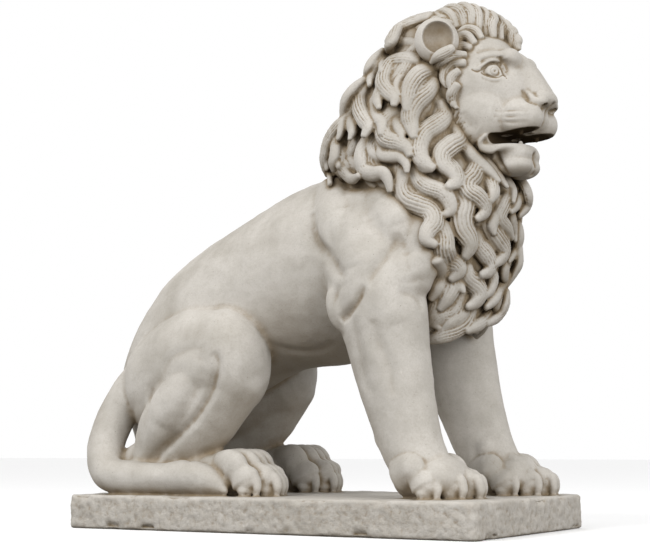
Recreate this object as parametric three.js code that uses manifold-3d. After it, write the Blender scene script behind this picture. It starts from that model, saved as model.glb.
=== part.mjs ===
// A seated stone lion with an open mouth and a long curled mane, carved in one block with the
// low slab that it sits on. Millimetres, +Z up. The lion faces +X and its left side is +Y.
// The origin is the middle of the slab's underside.
import * as THREE from "three";
import { SimplifyModifier } from "three/addons/modifiers/SimplifyModifier.js";
import { mergeVertices } from "three/addons/utils/BufferGeometryUtils.js";
import Module from "manifold-3d";

const wasm = await Module();
wasm.setup();

// Driving dimensions of the slab
const SLAB_LENGTH = 995;
const SLAB_WIDTH = 574;
const SLAB_THICKNESS = 74;
const SLAB_CORNER = 16;
const SLAB_WORN_EDGE = 7;
const CHIP_DEPTH = 7;

// The left legs aren't quite the right ones' mirror image: the hind leg is drawn back, in and up,
// and the foreleg leans forward by this much from the shoulder to the ground
const LEFT_HIND_LEG_SHIFT = [-64, -18];
const LEFT_HIND_FOOT_RISE = 12;
const LEFT_FORELEG_LEAN = 30;
const SHOULDER_HEIGHT = 560;

// A limb is a row of stations: x, y, z of its centre, then half its width across and half its depth
const TORSO = [
  [-398, 0, 128, 104, 70],
  [-408, 0, 225, 122, 96],
  [-394, 0, 332, 154, 140],
  [-286, 0, 448, 162, 172],
  [-130, 0, 526, 168, 181],
  [30, 0, 570, 174, 208],
  [190, 0, 598, 164, 190],
  [300, 0, 604, 128, 150],
];

// The limbs of one side, drawn for the left: the right ones are mirrored
const THIGH = [
  [-350, 118, 318, 100, 128],
  [-248, 146, 346, 96, 142],
  [-146, 161, 368, 82, 114],
];
const SHANK = [
  [-136, 166, 336, 62, 78],
  [-222, 172, 248, 66, 92],
  [-302, 172, 170, 52, 68],
  [-372, 172, 128, 40, 46],
];
const CALF = [
  [-205, 206, 315, 34, 44],
  [-290, 214, 232, 40, 52],
  [-355, 206, 160, 26, 30],
];
const HIND_FOOT = [
  [-398, 172, 116, 42, 42],
  [-250, 172, 116, 48, 46],
  [-95, 172, 120, 60, 52],
];
const FORELEG = [
  [160, 108, 690, 52, 92],
  [192, 142, 580, 72, 106],
  [226, 156, 480, 76, 102],
  [254, 156, 340, 62, 84],
  [277, 156, 250, 57, 72],
  [295, 156, 190, 56, 65],
  [322, 156, 128, 60, 60],
];
const FOREFOOT = [
  [302, 156, 112, 56, 40],
  [352, 156, 114, 66, 42],
  [402, 156, 112, 68, 38],
];

// Muscles that swell the shoulder, from the withers to the elbow, and the forearm
const SHOULDER_BLADE = [
  [66, 90, 738, 28, 44],
  [102, 136, 656, 40, 58],
  [146, 160, 560, 38, 50],
  [156, 170, 508, 26, 34],
];
const UPPER_ARM = [
  [190, 104, 736, 32, 44],
  [228, 146, 648, 44, 58],
  [246, 158, 556, 36, 46],
];
const BREAST = [
  [300, 96, 690, 34, 40],
  [314, 130, 606, 42, 54],
  [292, 146, 520, 34, 44],
];
const FOREARM = [
  [226, 184, 470, 26, 40],
  [258, 190, 385, 27, 36],
  [290, 178, 290, 16, 22],
];
const ELBOW = { centre: [148, 178, 494], radii: [36, 28, 52], pitch: -20 };
const DEW_CLAW = { centre: [238, 164, 188], radii: [14, 18, 26], pitch: 0 };

const TAIL = [
  [-384, -112, 372, 48, 48],
  [-424, -150, 316, 45, 45],
  [-456, -182, 236, 43, 43],
  [-456, -212, 168, 41, 41],
  [-425, -236, 122, 38, 38],
  [-365, -241, 110, 36, 36],
  [-270, -241, 109, 35, 35],
  [-180, -241, 107, 34, 34],
  [-135, -239, 99, 25, 25],
];

// The mane's mass by height: z, then x of its middle, half its width and half its depth
const MANE = [
  [418, 318, 76, 58],
  [500, 314, 116, 92],
  [600, 304, 150, 132],
  [700, 286, 170, 172],
  [790, 240, 182, 196],
  [880, 240, 172, 154],
  [980, 274, 150, 124],
  [1045, 310, 120, 112],
  [1080, 346, 74, 72],
];

// Tiers of locks from the crown to the chest: height of the roots, first and last bearing from
// the front, how many on each side, how far they fall and how far they swing forward, in degrees
const TIERS = [
  { top: 1078, from: 66, to: 172, count: 4, fall: 130, swing: -22 },
  { top: 1005, from: 60, to: 170, count: 6, fall: 165, swing: -8 },
  { top: 925, from: 52, to: 170, count: 6, fall: 170, swing: 6 },
  { top: 838, from: 12, to: 112, count: 5, fall: 185, swing: 14 },
  { top: 725, from: 9, to: 84, count: 4, fall: 190, swing: 12 },
  { top: 600, from: 12, to: 66, count: 3, fall: 160, swing: 8 },
];
const LOCK_WIDTH = 33;
const LOCK_DEPTH = 28;
const LOCK_WAVE = 24;
const LOCK_TURNS = 1.15;

// Tufts of the forelock, fanned over the brow from ear to ear: bearing from the front in degrees
const TUFT_BEARINGS = [12, 36, 60, 84];
const HAIRLINE = { x: 384, z: 1014, width: 104, rise: 76 };

// Sizes of the paws
const TOES = 4;
const FORE_PAW = { tip: 466, width: 142, height: 84, length: 92 };
const HIND_PAW = { tip: 14, width: 128, height: 97, length: 96 };
const CLAW_LENGTH = 32;
const CLAW_RADIUS = 6.5;

const SIDEWAYS = new THREE.Vector3(0, 1, 0);
const TAIL_ACROSS = new THREE.Vector3(0.2, -0.7, 0.68);
const CAP_ROWS = 2;
const MOST_TRIANGLES = 9800;
const TOUCH_GAP = 0.1;
const SIDES = [-1, 1];
const radians = THREE.MathUtils.degToRad;

const STONE = new THREE.MeshStandardMaterial({ color: 0xbfb8ab, roughness: 0.85, metalness: 0 });

// A closed three.js geometry as a solid that can be joined and cut
function solid(geometry) {
  const bare = new THREE.BufferGeometry();
  bare.setAttribute("position", geometry.getAttribute("position").clone());
  bare.setIndex(geometry.index);
  const merged = mergeVertices(bare, 1e-3);
  return new wasm.Manifold(
    new wasm.Mesh({
      numProp: 3,
      vertProperties: merged.attributes.position.array,
      triVerts: new Uint32Array(merged.index.array),
    }),
  );
}

function join(pieces) {
  return pieces.reduce((whole, piece) => whole.add(piece));
}

// The outer shell alone, so that a pocket sealed between two locks is solid stone
function filled(block) {
  const shells = block.decompose();
  return shells.reduce((outer, shell) => (shell.volume() > outer.volume() ? shell : outer));
}

// A tube with round ends along a smooth curve through its stations
function limb(stations, { sides = 12, rows = 2 * stations.length, across = SIDEWAYS, blunt = 1 } = {}) {
  const spine = new THREE.CatmullRomCurve3(stations.map(([x, y, z]) => new THREE.Vector3(x, y, z)));
  const girth = new THREE.CatmullRomCurve3(stations.map(([, , , a, b]) => new THREE.Vector3(a, b, 0)));
  const allRows = rows + 2 * CAP_ROWS;
  const geometry = new THREE.SphereGeometry(1, sides, allRows);
  const position = geometry.getAttribute("position");
  for (let row = 0; row <= allRows; row++) {
    const t = THREE.MathUtils.clamp((row - CAP_ROWS) / rows, 0, 1);
    const pastEnd = Math.max(CAP_ROWS - row, row - CAP_ROWS - rows, 0) / CAP_ROWS;
    const along = spine.getTangent(t);
    const side = across.clone().addScaledVector(along, -across.dot(along)).normalize();
    const front = side.clone().cross(along);
    const { x: width, y: depth } = girth.getPoint(t);
    const shrink = Math.cos((pastEnd * Math.PI) / 2);
    const reach = Math.sin((pastEnd * Math.PI) / 2) * Math.min(width, depth) * blunt;
    const centre = spine.getPoint(t).addScaledVector(along, t < 0.5 ? -reach : reach);
    for (let step = 0; step <= sides; step++) {
      const turn = (2 * Math.PI * (step % sides)) / sides;
      const point = centre.clone();
      point.addScaledVector(side, width * shrink * Math.cos(turn));
      point.addScaledVector(front, depth * shrink * Math.sin(turn));
      position.setXYZ(row * (sides + 1) + step, point.x, point.y, point.z);
    }
  }
  return solid(geometry);
}

// An ellipsoid, pitched about Y and then turned about Z
function lump(centre, radii, { pitch = 0, yaw = 0, sides = 12, rows = 8 } = {}) {
  const geometry = new THREE.SphereGeometry(1, sides, rows);
  geometry.rotateX(Math.PI / 2).scale(...radii);
  geometry.rotateY(radians(pitch)).rotateZ(radians(yaw)).translate(...centre);
  return solid(geometry);
}

// A left limb's stations for one side
function onSide(stations, side) {
  return stations.map(([x, y, z, ...size]) => [x, side * y, z, ...size]);
}

// The same for the hind legs, with the left one drawn back
function onHindSide(stations, side) {
  const [dx, dy] = side > 0 ? LEFT_HIND_LEG_SHIFT : [0, 0];
  return stations.map(([x, y, z, ...size]) => [x + dx, side * (y + dy), z, ...size]);
}

// The same for the forelegs, with the left one leaning
function onForeSide(stations, side) {
  return stations.map(([x, y, z, ...size]) => [x + foreLean(z, side), side * y, z, ...size]);
}

function foreLean(z, side) {
  return side > 0 ? LEFT_FORELEG_LEAN * (1 - z / SHOULDER_HEIGHT) : 0;
}

function slab() {
  const x = SLAB_LENGTH / 2 - SLAB_WORN_EDGE;
  const y = SLAB_WIDTH / 2 - SLAB_WORN_EDGE;
  const outline = new THREE.Shape();
  outline.absarc(x - SLAB_CORNER, y - SLAB_CORNER, SLAB_CORNER, 0, Math.PI / 2);
  outline.absarc(SLAB_CORNER - x, y - SLAB_CORNER, SLAB_CORNER, Math.PI / 2, Math.PI);
  outline.absarc(SLAB_CORNER - x, SLAB_CORNER - y, SLAB_CORNER, Math.PI, 1.5 * Math.PI);
  outline.absarc(x - SLAB_CORNER, SLAB_CORNER - y, SLAB_CORNER, 1.5 * Math.PI, 2 * Math.PI);
  const geometry = new THREE.ExtrudeGeometry(outline, {
    depth: SLAB_THICKNESS - 2 * SLAB_WORN_EDGE,
    curveSegments: 3,
    bevelThickness: SLAB_WORN_EDGE,
    bevelSize: SLAB_WORN_EDGE,
    bevelSegments: 2,
  });
  return solid(geometry.translate(0, 0, SLAB_WORN_EDGE));
}

// Chips along the lower edge of the slab's right side and its front: x, y, half length
function chips() {
  const edge = -SLAB_WIDTH / 2;
  const places = [
    [-318, edge, 40],
    [128, edge, 34],
    [262, edge, 28],
    [SLAB_LENGTH / 2, -90, 24],
  ];
  return places.map(([x, y, half]) => {
    const onFront = x === SLAB_LENGTH / 2;
    const radii = onFront ? [CHIP_DEPTH, half, 15] : [half, CHIP_DEPTH, 15];
    return lump([x, y, 8], radii, { sides: 8, rows: 4 });
  });
}

// One toe of a paw with its claw; place runs from -1 to 1 across the paw
function toe({ tip, width, height, length }, middle, place) {
  const radius = (0.56 * width) / TOES;
  const y = middle + place * (width / 2 - radius);
  const ahead = tip - 20 * place * place;
  const ground = SLAB_THICKNESS;
  const knuckle = [
    [ahead - length, middle + 0.8 * (y - middle), ground + 0.55 * height, radius, 0.42 * height],
    [ahead - 0.55 * length, y, ground + 0.58 * height, radius, 0.42 * height],
    [ahead - 0.24 * length, y, ground + 0.36 * height, radius, 0.36 * height],
  ];
  const root = ground + CLAW_LENGTH;
  const claw = [
    [ahead - 12, y, root, CLAW_RADIUS, CLAW_RADIUS],
    [ahead - 4, y, root - 0.45 * CLAW_LENGTH, CLAW_RADIUS, CLAW_RADIUS],
    [ahead - 2, y, ground - 4, 4, 4],
  ];
  return [limb(knuckle, { sides: 8, rows: 4 }), limb(claw, { sides: 5, rows: 3 })];
}

// The toes of one paw, in line with the foot whose stations end at it
function paw(sizes, foot, ahead) {
  const middle = foot[foot.length - 1][1];
  const placed = { ...sizes, tip: sizes.tip + ahead };
  return [-1, -1 / 3, 1 / 3, 1].flatMap((place) => toe(placed, middle, place));
}

function hindLeg(side) {
  const rise = side > 0 ? LEFT_HIND_FOOT_RISE : 0;
  const lifted = HIND_FOOT.map(([x, y, z, a, b], k) => [x, y, z + (k * rise) / 4, a, b + (k * rise) / 4]);
  const foot = onHindSide(lifted, side);
  const toes = { ...HIND_PAW, height: HIND_PAW.height + rise };
  return [
    limb(onHindSide(THIGH, side), { sides: 20, rows: 9 }),
    limb(onHindSide(SHANK, side), { sides: 14, rows: 7 }),
    limb(onHindSide(CALF, side), { sides: 12, rows: 6 }),
    limb(foot, { sides: 12, rows: 4 }),
    ...paw(toes, foot, side > 0 ? LEFT_HIND_LEG_SHIFT[0] : 0),
  ];
}

function knob({ centre: [x, y, z], radii, pitch }, side) {
  return lump([x + foreLean(z, side), side * y, z], radii, { pitch });
}

function foreleg(side) {
  const foot = onForeSide(FOREFOOT, side);
  const shoulder = [SHOULDER_BLADE, UPPER_ARM, BREAST];
  return [
    limb(onForeSide(FORELEG, side), { sides: 16, rows: 12 }),
    limb(foot, { sides: 12, rows: 4 }),
    ...shoulder.map((muscle) => limb(onSide(muscle, side), { rows: 7 })),
    limb(onForeSide(FOREARM, side), { sides: 10, rows: 6 }),
    knob(ELBOW, side),
    knob(DEW_CLAW, side),
    ...paw(FORE_PAW, foot, foreLean(SLAB_THICKNESS, side)),
  ];
}

// The open cup of an ear, turned outwards and a little forwards
function ear(side) {
  const yaw = -side * 32;
  const [x, y, z] = [344, side * 118, 1056];
  const cup = lump([x, y, z], [50, 30, 54], { yaw, sides: 16, rows: 10 });
  const hollow = lump([x + 13, y + side * 24, z - 1], [36, 28, 40], { yaw, sides: 14, rows: 8 });
  return cup.subtract(hollow);
}

function head() {
  const skull = limb(
    [
      [320, 0, 950, 112, 118],
      [400, 0, 938, 110, 110],
      [450, 0, 914, 90, 92],
      [494, 0, 880, 72, 62],
      [516, 0, 870, 58, 44],
    ],
    { sides: 20, rows: 12 },
  );
  const bridge = limb(
    [
      [420, 0, 1010, 74, 46],
      [482, 0, 972, 46, 40],
      [534, 0, 914, 40, 28],
    ],
    { sides: 14, rows: 7 },
  );
  const nose = lump([540, 0, 908], [26, 42, 22], { pitch: 30, sides: 14, rows: 8 });
  const jaw = limb(
    [
      [380, 0, 812, 90, 60],
      [445, 0, 794, 66, 46],
      [492, 0, 784, 54, 36],
    ],
    { sides: 16, rows: 6 },
  );
  const paired = SIDES.flatMap((side) => [
    lump([498, side * 34, 864], [56, 42, 42], { yaw: side * -8, pitch: 8, sides: 16, rows: 10 }),
    lump([402, side * 62, 876], [72, 46, 84], { sides: 16, rows: 10 }),
    lump([454, side * 54, 1008], [48, 40, 28], { yaw: side * -24, pitch: 20, sides: 12, rows: 8 }),
    lump([448, side * 70, 970], [20, 18, 18], { sides: 10, rows: 6 }),
  ]);
  const mouth = lump([502, 0, 826], [84, 78, 15], { pitch: -3, sides: 16, rows: 6 });
  const nostrils = SIDES.map((side) => lump([562, side * 26, 896], [14, 12, 8], { sides: 6, rows: 4 }));
  const whole = join([skull, bridge, nose, jaw, ...paired]);
  return [whole.subtract(mouth).subtract(join(nostrils)), ...SIDES.map(ear)];
}

// The forelock: tufts that stand up from the hairline and fall back over the crown
function forelock() {
  const { x, z, width, rise } = HAIRLINE;
  return SIDES.flatMap((side) =>
    TUFT_BEARINGS.map((bearing) => {
      const across = Math.sin(radians(bearing)) * side;
      const high = rise * Math.cos(radians(0.85 * bearing));
      const tuft = [
        [x + 76 - 0.3 * bearing, across * width * 0.8, z + 0.35 * high, 20, 18],
        [x + 66 - 0.4 * bearing, across * width, z + 0.95 * high, 27, 26],
        [x - 0.5 * bearing, across * width * 1.05, z + 1.2 * high, 30, 28],
        [x - 70 - 0.5 * bearing, across * width, z + 1.1 * high, 22, 22],
      ];
      return limb(tuft, { sides: 7, rows: 6 });
    }),
  );
}

// The middle and half sizes of the mane's mass at a height
function maneSection(z) {
  const above = MANE.findIndex(([level]) => level >= z);
  const upper = MANE[above < 0 ? MANE.length - 1 : Math.max(above, 1)];
  const lower = MANE[(above < 0 ? MANE.length - 1 : Math.max(above, 1)) - 1];
  const share = THREE.MathUtils.clamp((z - lower[0]) / (upper[0] - lower[0]), 0, 1);
  return [1, 2, 3].map((k) => THREE.MathUtils.lerp(lower[k], upper[k], share));
}

// A point on the mane at a height and a bearing from the front, lifted off it by a height
function onMane(z, bearing, lift) {
  const [x, width, depth] = maneSection(z);
  const turn = radians(bearing);
  return [x + (depth + lift) * Math.cos(turn), (width + lift) * Math.sin(turn), z];
}

// One wavy lock that falls down the mane and tapers to its tip
function lock({ top, fall, swing }, bearing, phase, side) {
  const steps = 6;
  const stations = [];
  for (let k = 0; k <= steps; k++) {
    const s = k / steps;
    const wave = (LOCK_WAVE / 3.2) * Math.sin(2 * Math.PI * (LOCK_TURNS * s + phase));
    const at = bearing - swing * s + wave;
    const swell = 0.72 + 0.34 * Math.sin(Math.PI * Math.min(1, 1.25 * s)) - 0.42 * s * s;
    const place = onMane(top - fall * s, side * at, 4 + 8 * s);
    stations.push([...place, LOCK_WIDTH * swell, LOCK_DEPTH * swell]);
  }
  const turn = radians(side * bearing);
  const across = new THREE.Vector3(-Math.sin(turn), Math.cos(turn), 0);
  return limb(stations, { sides: 7, rows: 8, across, blunt: 0.8 });
}

function maneLocks() {
  const locks = [];
  TIERS.forEach((tier, row) => {
    for (let n = 0; n < tier.count; n++) {
      const share = n / (tier.count - 1);
      const bearing = THREE.MathUtils.lerp(tier.from, tier.to, share);
      const phase = 0.37 * row + 0.29 * n;
      for (const side of SIDES) locks.push(lock(tier, bearing, phase + 0.11 * side, side));
    }
  });
  return locks;
}

function mane() {
  const mass = MANE.map(([z, x, width, depth]) => [x, 0, z, width, depth]);
  return [limb(mass, { sides: 18, rows: 14 }), ...forelock(), ...maneLocks()];
}

function surface(block) {
  const { vertProperties, triVerts } = block.getMesh();
  const geometry = new THREE.BufferGeometry();
  geometry.setAttribute("position", new THREE.BufferAttribute(vertProperties, 3));
  geometry.setIndex(new THREE.BufferAttribute(triVerts, 1));
  return geometry;
}

// A solid's surface with small facets merged where the form is plain
async function faceted(block) {
  const fine = surface(block);
  const surplus = Math.max(0, fine.getAttribute("position").count - MOST_TRIANGLES / 2);
  return new SimplifyModifier().modify(fine, surplus);
}

// Where two folds of the surface only touch at a corner, each is drawn back a hair into the stone
function clearOfItself(geometry) {
  geometry.computeVertexNormals();
  const position = geometry.getAttribute("position");
  const normal = geometry.getAttribute("normal");
  const cornersAt = new Map();
  for (let k = 0; k < position.count; k++) {
    const place = [position.getX(k), position.getY(k), position.getZ(k)].map((v) => v.toFixed(2)).join();
    cornersAt.set(place, [...(cornersAt.get(place) ?? []), k]);
  }
  const point = new THREE.Vector3();
  const outward = new THREE.Vector3();
  for (const corners of cornersAt.values()) {
    if (corners.length === 1) continue;
    for (const k of corners) {
      outward.fromBufferAttribute(normal, k);
      point.fromBufferAttribute(position, k).addScaledVector(outward, -TOUCH_GAP);
      position.setXYZ(k, point.x, point.y, point.z);
    }
  }
  geometry.computeVertexNormals();
  return geometry;
}

async function statue() {
  const lion = join([
    limb(TORSO, { sides: 24, rows: 16 }),
    ...SIDES.flatMap(hindLeg),
    ...SIDES.flatMap(foreleg),
    limb(TAIL, { sides: 12, rows: 24, across: TAIL_ACROSS }),
    ...head(),
    ...mane(),
  ]);
  const block = lion.add(slab()).subtract(join(chips()));
  const plain = filled(solid(await faceted(filled(block))));
  const mesh = new THREE.Mesh(clearOfItself(surface(plain)), STONE);
  mesh.name = "lion_statue";
  return mesh;
}

const part = new THREE.Group();
part.add(await statue());

export default part;
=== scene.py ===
# %% [markdown]
# A seated stone lion, carved in one block with the low slab under it. The imported model is loaded
# first and gives the frame: the lion faces +X, its left side is +Y, and the origin is the middle of
# the slab's underside. Its box is kept, hidden.

# %% The imported model and its box
import functools
import math
import random

import bmesh
import bpy
import numpy as np
from mathutils import Euler, Matrix, Vector, noise
from mathutils.bvhtree import BVHTree


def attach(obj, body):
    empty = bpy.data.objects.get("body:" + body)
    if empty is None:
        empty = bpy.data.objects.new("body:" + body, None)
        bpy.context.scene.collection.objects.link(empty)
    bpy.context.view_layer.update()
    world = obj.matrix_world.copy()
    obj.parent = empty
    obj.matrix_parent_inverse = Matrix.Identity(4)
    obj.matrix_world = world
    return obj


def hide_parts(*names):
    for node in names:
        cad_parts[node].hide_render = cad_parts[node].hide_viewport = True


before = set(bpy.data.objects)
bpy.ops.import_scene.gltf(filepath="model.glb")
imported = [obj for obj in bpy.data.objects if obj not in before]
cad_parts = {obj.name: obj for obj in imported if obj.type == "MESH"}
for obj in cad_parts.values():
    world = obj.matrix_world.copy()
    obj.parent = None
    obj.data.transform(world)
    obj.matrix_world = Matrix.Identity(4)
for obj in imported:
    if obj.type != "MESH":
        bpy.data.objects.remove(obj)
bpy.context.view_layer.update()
MM = 0.001
SIDES = (-1, 1)
chance = random.Random(7)

# %% [markdown]
# A carver finds a lion in a block by masses first: barrel, haunches, legs, neck. Each mass here is a
# ball pulled along a smooth curve. Metaballs or a skin modifier could do it too, but a pulled ball
# gives the width and the depth at every station, which is how a carver measures a limb. A station is
# x, y, z of the centre and then half the width across and half the depth, in millimetres.


# %% A ball pulled along a curve
@functools.lru_cache(maxsize=None)
def ball(sides, rows):
    """A unit ball's mesh, poles along Z."""
    form = bmesh.new()
    bmesh.ops.create_uvsphere(form, u_segments=sides, v_segments=rows, radius=1)
    mesh = bpy.data.meshes.new("ball")
    form.to_mesh(mesh)
    form.free()
    return mesh


def read_points(mesh, what="co"):
    values = np.empty(3 * len(mesh.vertices), dtype=np.float32)
    mesh.vertices.foreach_get(what, values)
    return values.reshape(-1, 3).astype(float)


def write_points(mesh, points):
    """Puts points in millimetres into a mesh."""
    mesh.vertices.foreach_set("co", (points * MM).astype(np.float32).ravel())
    mesh.update()


def through(stations, share):
    """Rows of a smooth curve through the stations, at shares of the way along it."""
    stations = np.asarray(stations, dtype=float)
    first = 2 * stations[0] - stations[1]
    last = 2 * stations[-1] - stations[-2]
    knots = np.vstack([first, stations, last])
    place = np.clip(share, 0, 1) * (len(stations) - 1)
    k = np.minimum(place.astype(int), len(stations) - 2)
    u = (place - k)[:, None]
    a, b, c, d = (knots[k + j] for j in range(4))
    bend = (2 * a - 5 * b + 4 * c - d) * u**2 + (3 * b - a - 3 * c + d) * u**3
    return 0.5 * (2 * b + (c - a) * u + bend)


def unit(vectors):
    return vectors / np.linalg.norm(vectors, axis=-1, keepdims=True)


# %% [markdown]
# A limb is that ball with its rows laid along the curve, so that its ends stay round. It could be a bevelled
# curve object, but then its section could carry no strands. A lump is the ball only scaled and turned.


# %% Limbs and lumps
ROUND_END, NEXT_PLACE = 0.12, 0.02


def limb(clay, stations, sides=24, rows=40, across=(0, 1, 0), outward=None, blunt=1.0, strands=None):
    """Pulls a ball along the stations into the clay. outward, a vector for each station, turns its front."""
    mesh = ball(sides, rows).copy()
    points = read_points(mesh)
    row = np.arccos(np.clip(points[:, 2], -1, 1)) / math.pi
    turn = np.arctan2(points[:, 1], points[:, 0])
    share = np.clip((row - ROUND_END) / (1 - 2 * ROUND_END), 0, 1)
    past = np.clip(np.maximum(ROUND_END - row, row - 1 + ROUND_END) / ROUND_END, 0, 1) * math.pi / 2
    here = through(stations, share)
    ahead, behind = through(stations, share + NEXT_PLACE), through(stations, share - NEXT_PLACE)
    along = unit(ahead[:, :3] - behind[:, :3])
    if outward is None:
        toward = np.asarray(across, dtype=float)
        side = unit(toward - along * (along @ toward)[:, None])
        front = np.cross(side, along)
    else:
        facing = through(outward, share)
        front = unit(facing - along * np.sum(facing * along, axis=1, keepdims=True))
        side = np.cross(along, front)
    thin = np.cos(past)
    if strands:
        thin = thin * strands(turn, share)
    width, depth = here[:, 3], here[:, 4]
    reach = np.sin(past) * np.minimum(width, depth) * blunt * np.where(row < 0.5, -1, 1)
    points = here[:, :3] + along * reach[:, None]
    points = points + side * (width * thin * np.cos(turn))[:, None]
    points = points + front * (depth * thin * np.sin(turn))[:, None]
    write_points(mesh, points)
    clay.append(mesh)


def lump(clay, centre, radii, pitch=0, yaw=0):
    """An egg of clay, pitched about Y and then turned about Z, in degrees."""
    turned = Euler((0, math.radians(pitch), math.radians(yaw))).to_quaternion()
    mesh = ball(32, 20).copy()
    mesh.transform(Matrix.LocRotScale(Vector(centre) * MM, turned, Vector(radii) * MM))
    clay.append(mesh)


# %% [markdown]
# Clay pieces are pressed into one skin as a modeller does: the Remesh modifier melts everything that
# overlaps into one closed surface of small cubes, and a few rounds of smoothing are the thumb that
# rounds the seams. Joining in stages, from large masses with much smoothing to small details with
# little, keeps soft flanks beside crisp hair. A boolean union would leave sharp valleys everywhere.


# %% Melting clay into one skin
def linked(name, mesh):
    thing = bpy.data.objects.new(name, mesh)
    bpy.context.collection.objects.link(thing)
    return thing


def joined(clay):
    """All meshes of a list as one object."""
    lumps = [linked("clay", mesh) for mesh in clay]
    if len(lumps) > 1:
        chosen = {"active_object": lumps[0], "object": lumps[0], "selected_editable_objects": lumps}
        with bpy.context.temp_override(**chosen):
            bpy.ops.object.join()
    for mesh in clay[1:]:
        bpy.data.meshes.remove(mesh)
    return lumps[0]


def modified(block, *modifiers):
    """A new mesh: the object after modifiers, each a kind and its settings."""
    for kind, settings in modifiers:
        modifier = block.modifiers.new(kind.lower(), kind)
        for name, value in settings.items():
            setattr(modifier, name, value)
    shaped = bpy.data.meshes.new_from_object(block.evaluated_get(bpy.context.evaluated_depsgraph_get()))
    old = block.data
    bpy.data.objects.remove(block)
    bpy.data.meshes.remove(old)
    return shaped


def fused(clay, voxel, rounds):
    """One skin round all the clay, with its seams rounded."""
    melt = ("REMESH", {"mode": "VOXEL", "voxel_size": voxel * MM})
    thumb = ("SMOOTH", {"factor": 0.5, "iterations": rounds})
    skin = modified(joined(clay), melt, thumb)
    print("skin of", len(skin.polygons), "faces at", voxel, "mm")
    return skin

# %% [markdown]
# The large masses come first: a barrel that sits on its rump, and straight forelegs. Legs are drawn for the
# left and mirrored. The left foreleg leans a little forward, as on the real statue.

# %% Large masses
TORSO = [
    [-398, 0, 128, 104, 70],
    [-408, 0, 225, 124, 98],
    [-394, 0, 332, 157, 143],
    [-286, 0, 448, 166, 176],
    [-130, 0, 526, 172, 184],
    [30, 0, 570, 177, 210],
    [190, 0, 598, 166, 192],
    [300, 0, 604, 128, 150],
]
FORELEG = [
    [160, 108, 690, 52, 92],
    [192, 142, 580, 74, 108],
    [226, 156, 480, 76, 102],
    [254, 156, 340, 65, 87],
    [277, 156, 250, 60, 75],
    [295, 156, 190, 59, 68],
    [322, 156, 128, 62, 62],
]
LEFT_FORE_LEAN, SHOULDER_HEIGHT = 30, 560


def plain_side(stations, side):
    return [[x, side * y, z, *size] for x, y, z, *size in stations]


def lean(z, side):
    return LEFT_FORE_LEAN * (1 - z / SHOULDER_HEIGHT) if side > 0 else 0


def fore_side(stations, side):
    return [[x + lean(z, side), side * y, z, *size] for x, y, z, *size in stations]


clay = []
limb(clay, TORSO, sides=48, rows=64)
for side in SIDES:
    limb(clay, fore_side(FORELEG, side), sides=32, rows=56)
body = fused(clay, voxel=7, rounds=14)

# %% [markdown]
# The haunches and the muscles lie on the masses as domes, flat eggs and long leaves: the thigh, the calf
# behind the shank, the blade and the arm over the shoulder, the point of the elbow. They are melted in
# with less smoothing, so that the furrow between two muscles stays, as the carver left it.

# %% Haunches, muscles, feet and tail
THIGH = [
    [-350, 118, 318, 102, 130],
    [-248, 146, 346, 98, 144],
    [-146, 161, 368, 88, 119],
]
SHANK = [
    [-136, 168, 336, 68, 82],
    [-222, 174, 248, 66, 92],
    [-302, 172, 170, 54, 72],
    [-372, 174, 136, 46, 60],
]
CALF = [
    [-196, 206, 352, 34, 42],
    [-244, 216, 292, 42, 56],
    [-302, 216, 222, 40, 52],
    [-345, 208, 160, 26, 32],
]
HIND_FOOT = [
    [-398, 172, 116, 44, 42],
    [-250, 172, 116, 50, 46],
    [-112, 172, 122, 62, 54],
]
FOREFOOT = [
    [302, 156, 112, 58, 40],
    [342, 156, 116, 68, 44],
    [376, 156, 118, 68, 42],
]
SHOULDER_BLADE = [
    [70, 94, 742, 28, 40],
    [112, 138, 664, 42, 58],
    [158, 164, 574, 40, 46],
    [172, 176, 528, 24, 26],
]
UPPER_ARM = [
    [196, 104, 736, 34, 44],
    [244, 146, 648, 46, 60],
    [250, 160, 566, 38, 48],
]
BREAST = [
    [300, 96, 690, 36, 40],
    [318, 132, 606, 44, 56],
    [300, 150, 520, 36, 44],
]
FOREARM = [
    [262, 178, 474, 40, 52],
    [276, 184, 385, 32, 44],
    [298, 174, 290, 20, 28],
]
TAIL = [
    [-384, -112, 372, 50, 50],
    [-424, -150, 316, 46, 46],
    [-456, -182, 236, 44, 44],
    [-456, -212, 168, 42, 42],
    [-425, -236, 122, 39, 39],
    [-365, -241, 110, 38, 38],
    [-270, -241, 109, 35, 34],
    [-215, -241, 112, 39, 38],
    [-165, -241, 108, 38, 35],
    [-128, -239, 96, 26, 23],
    [-106, -238, 85, 10, 9],
]

# %% [markdown]
# The muscles of both sides are pressed on together, then the elbow, the wrist and the dew claw as small
# lumps. The left hind leg is set back and in, and its foot stands higher at the toes.

# %% Pressing the muscles on
TAIL_ACROSS, CALF_ACROSS = (0.2, -0.7, 0.68), (0.2, 1, 0)
LEFT_HIND_BACK, LEFT_HIND_IN = -64, -18
LEFT_FOOT_RISE = 12
# Each lump has a centre, radii, a pitch in degrees and the height whose lean it follows.
FORELEG_LUMPS = {
    "elbow": ((150, 190, 466), (30, 30, 54), -16, 492),
    "wrist": ((238, 168, 198), (19, 20, 32), -12, 196),
    "dew claw": ((322, 104, 176), (20, 14, 20), 0, 178),
}


def hind_side(stations, side):
    back, inward = (LEFT_HIND_BACK, LEFT_HIND_IN) if side > 0 else (0, 0)
    return [[x + back, side * (y + inward), z, *size] for x, y, z, *size in stations]


def raised(stations, rise):
    """A foot whose stations stand higher towards the toes, each by a quarter of the rise."""
    return [[x, y, z + k * rise / 4, a, b + k * rise / 4] for k, (x, y, z, a, b) in enumerate(stations)]


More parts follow.
